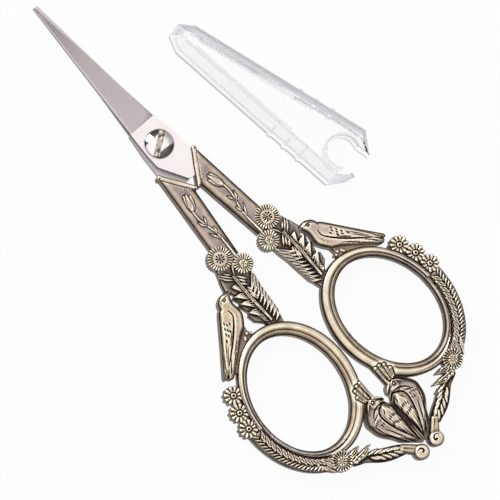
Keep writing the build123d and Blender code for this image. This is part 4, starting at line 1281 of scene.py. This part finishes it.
shank_profile = [
    (shank_radius, seat_height + 0.1), (shank_radius, shank_end + chamfer),
    (shank_radius - chamfer, shank_end), (0.5, shank_end), (0.35, shank_end + 0.25),
]
places, faces = turn_profile([(r * MM, z * MM) for r, z in shank_profile[::-1]])
first = len(screw_mesh.vertices)
places = [tuple(v.co) for v in screw_mesh.vertices] + places
faces = [tuple(p.vertices) for p in screw_mesh.polygons] + [tuple(first + i for i in f) for f in faces]
screw_mesh = bpy.data.meshes.new("pivot_screw")
screw_mesh.from_pydata(places, [], faces)
screw_mesh.transform(Matrix.Rotation(math.radians(slot_turn), 4, "Z"))
finish_mesh(screw_mesh, 35)
slot_way = Vector((-math.sin(math.radians(slot_turn)), math.cos(math.radians(slot_turn)), 0))
for polygon in screw_mesh.polygons:
    middle = polygon.center / MM
    in_slot = abs(middle.dot(slot_way)) < slot_width / 2 and slot_low < middle.z < head_top - 0.02
    polygon.material_index = int(in_slot)

# %% [markdown]
# The head is bright like a mirror, with faint turning marks. The slot gets a second finish, on its own
# faces only: streaks along it that run from near black to bright.

# %% Finishes of the screw
mirror = bpy.data.materials.new("mirror_steel")
tree = Tree(mirror)
turning = tree.noise(tree.add("ShaderNodeTexCoord").outputs["Object"], 700, 3)
bright = tree.ramp(turning, [(0.3, (0.80, 0.76, 0.74)), (0.7, (0.93, 0.9, 0.88))])
tree.surface(bright, 0.06, 1.0, turning, 0.1, 0.00002)
screw_mesh.materials.append(mirror)

slot_steel = bpy.data.materials.new("slot_steel")
tree = Tree(slot_steel)
streaks = tree.noise(tree.add("ShaderNodeTexCoord").outputs["Object"], 1500, 3, 0.6, (0.5, 1.0, 1.0))
streaked_slot_tone = tree.ramp(streaks, [(0.38, (0.06, 0.045, 0.04)), (0.5, (0.4, 0.33, 0.28)),
                                (0.66, (0.85, 0.8, 0.74))])
tree.surface(streaked_slot_tone, 0.35, 0.8, streaks, 0.2, 0.00003)
screw_mesh.materials.append(slot_steel)
screw = new_object("pivot_screw_polished", screw_mesh)
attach(screw, "left_half")
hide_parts("pivot_screw")
print("screw", len(screw_mesh.vertices), "points")

# %% [markdown]
# ## Clear cover
# The cover is moulded in clear plastic. Glass in a render bends light as the real wall does, and its
# rounded edges gather grey and white lines, which are all that one sees of it on a white table. Its colour
# also has a painted shade: it turns grey and then dark where the wall is seen edge on.

# %% Clear plastic
clear = bpy.data.materials.new("clear_plastic_wall")
tree = Tree(clear)
ripple = tree.noise(tree.add("ShaderNodeTexCoord").outputs["Object"], 90, 2)
haze = tree.number("MULTIPLY_ADD", ripple, 0.05, 0.02)
looking = tree.add("ShaderNodeLayerWeight")
looking.inputs["Blend"].default_value = 0.5
# Painted shade: the wall's colour goes grey, then dark, the more edge on it is seen.
grazing_painted_shade = tree.ramp(looking.outputs["Facing"], [(0.0, (0.985, 0.985, 0.99)), (0.3, (0.965, 0.965, 0.98)),
                                                  (0.5, (0.62, 0.62, 0.68)), (0.75, (0.16, 0.16, 0.18))])
wall = tree.surface(grazing_painted_shade, haze, 0.0, ripple, 0.1, 0.0001)
wall.inputs["Transmission Weight"].default_value = 1.0
wall.inputs["IOR"].default_value = 1.45
soften(nodes["blade_cover"], clear, 0.22, 3, 25)

# %% [markdown]
# Where clear plastic bends light at its corners, it shows faint lines. Here they are painted: pale lines run
# along the corners of its top and floor, round the closed end and the keyhole, and across the sides at the
# grips, as thin strips of the same plastic, cloudy, in the thickness of the top and on the floor.

# %% Painted lines at the corners of the cover
cover_end, cover_turn = (19.6, 16.5), -78.03
end_half, mouth_half, full_from, full_to = 3.65, 7.5, 3.3, 46.2
keyhole_at, keyhole_radius = 44.8, 3.5
top_level, top_under, floor_level, floor_top = 2.77, 2.1, -1.385, -1.2
corner_inset, fold_inset, floor_inset, grip_inset = 2.75, 3.3, 1.0, 2.6
grip_first, grip_pitch, rim_gap = 29.95, 4, 0.35

# Painted lines of light: a faint, pale, half-clear plastic for the strips.
painted_line_plastic = bpy.data.materials.new("painted_corner_line_plastic")
tree = Tree(painted_line_plastic)
mist = tree.noise(tree.add("ShaderNodeTexCoord").outputs["Object"], 260, 3)
line_tone = tree.ramp(mist, [(0.35, (0.88, 0.88, 0.90)), (0.65, (0.98, 0.98, 0.99))])
strip = tree.surface(line_tone, 0.45, 0.0, mist, 0.1, 0.0001)
strip.inputs["Alpha"].default_value = 0.14

# %% [markdown]
# The cover tapers, so each line is drawn at half the width at its place, less an inset. The strips are
# strokes of wax with a flat back, as thin as the wall they lie in.

# %% Strips along the cover
def half_width(u, inset):
    """Half the cover's width at a place along it, less an inset."""
    return end_half + (mouth_half - end_half) * (u - full_from) / (full_to - full_from) - inset


def on_cover(places):
    """Places along and across the cover, set beside the scissors."""
    return turned(places, cover_end, cover_turn)


def moulded(name, lines, top, under):
    """One piece of thin strips between two heights, from lines with their widths."""
    wax = Wax((18.0, -35.0), (38.0, 18.0), 0.08)
    for line, width in lines:
        wax.bar(on_cover(line), (width,), top, 0.03)
    mesh = casting_mesh(name, wax, under)
    finish_mesh(mesh)
    mesh.materials.append(painted_line_plastic)
    piece = new_object(name, mesh)
    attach(piece, "blade_cover")
    print(name, len(mesh.vertices), "points")


upper_lines, lower_lines = [], []
for side in (-1, 1):
    upper_lines.append(([(u, side * half_width(u, corner_inset)) for u in (3.6, 45.5)], 0.4))
    upper_lines.append(([(u, side * half_width(u, fold_inset)) for u in (6.0, 33.0)], 0.3))
    lower_lines.append(([(u, side * half_width(u, floor_inset)) for u in (4.0, 46.0)], 0.32))
    for grip in range(3):
        u = grip_first + grip_pitch * grip
        lower_lines.append(([(u, side * half_width(u, inset)) for inset in (floor_inset, grip_inset)], 0.4))
rim_way = keyhole_radius + rim_gap
rim_turns = [math.radians(turn) for turn in range(60, 301, 12)]
rim = [(keyhole_at + rim_way * math.cos(turn), rim_way * math.sin(turn)) for turn in rim_turns]
end_line = smooth_run([(6.5, 2.9), (3.2, 2.4), (1.7, 0.9), (1.7, -0.9), (3.2, -2.4), (6.5, -2.9)])
upper_lines.append((rim, 0.5))
lower_lines += [(rim, 0.4), (end_line, 0.36)]
moulded("cover_upper_lines", upper_lines, top_level, top_under)
moulded("cover_lower_lines", lower_lines, floor_top, floor_level)
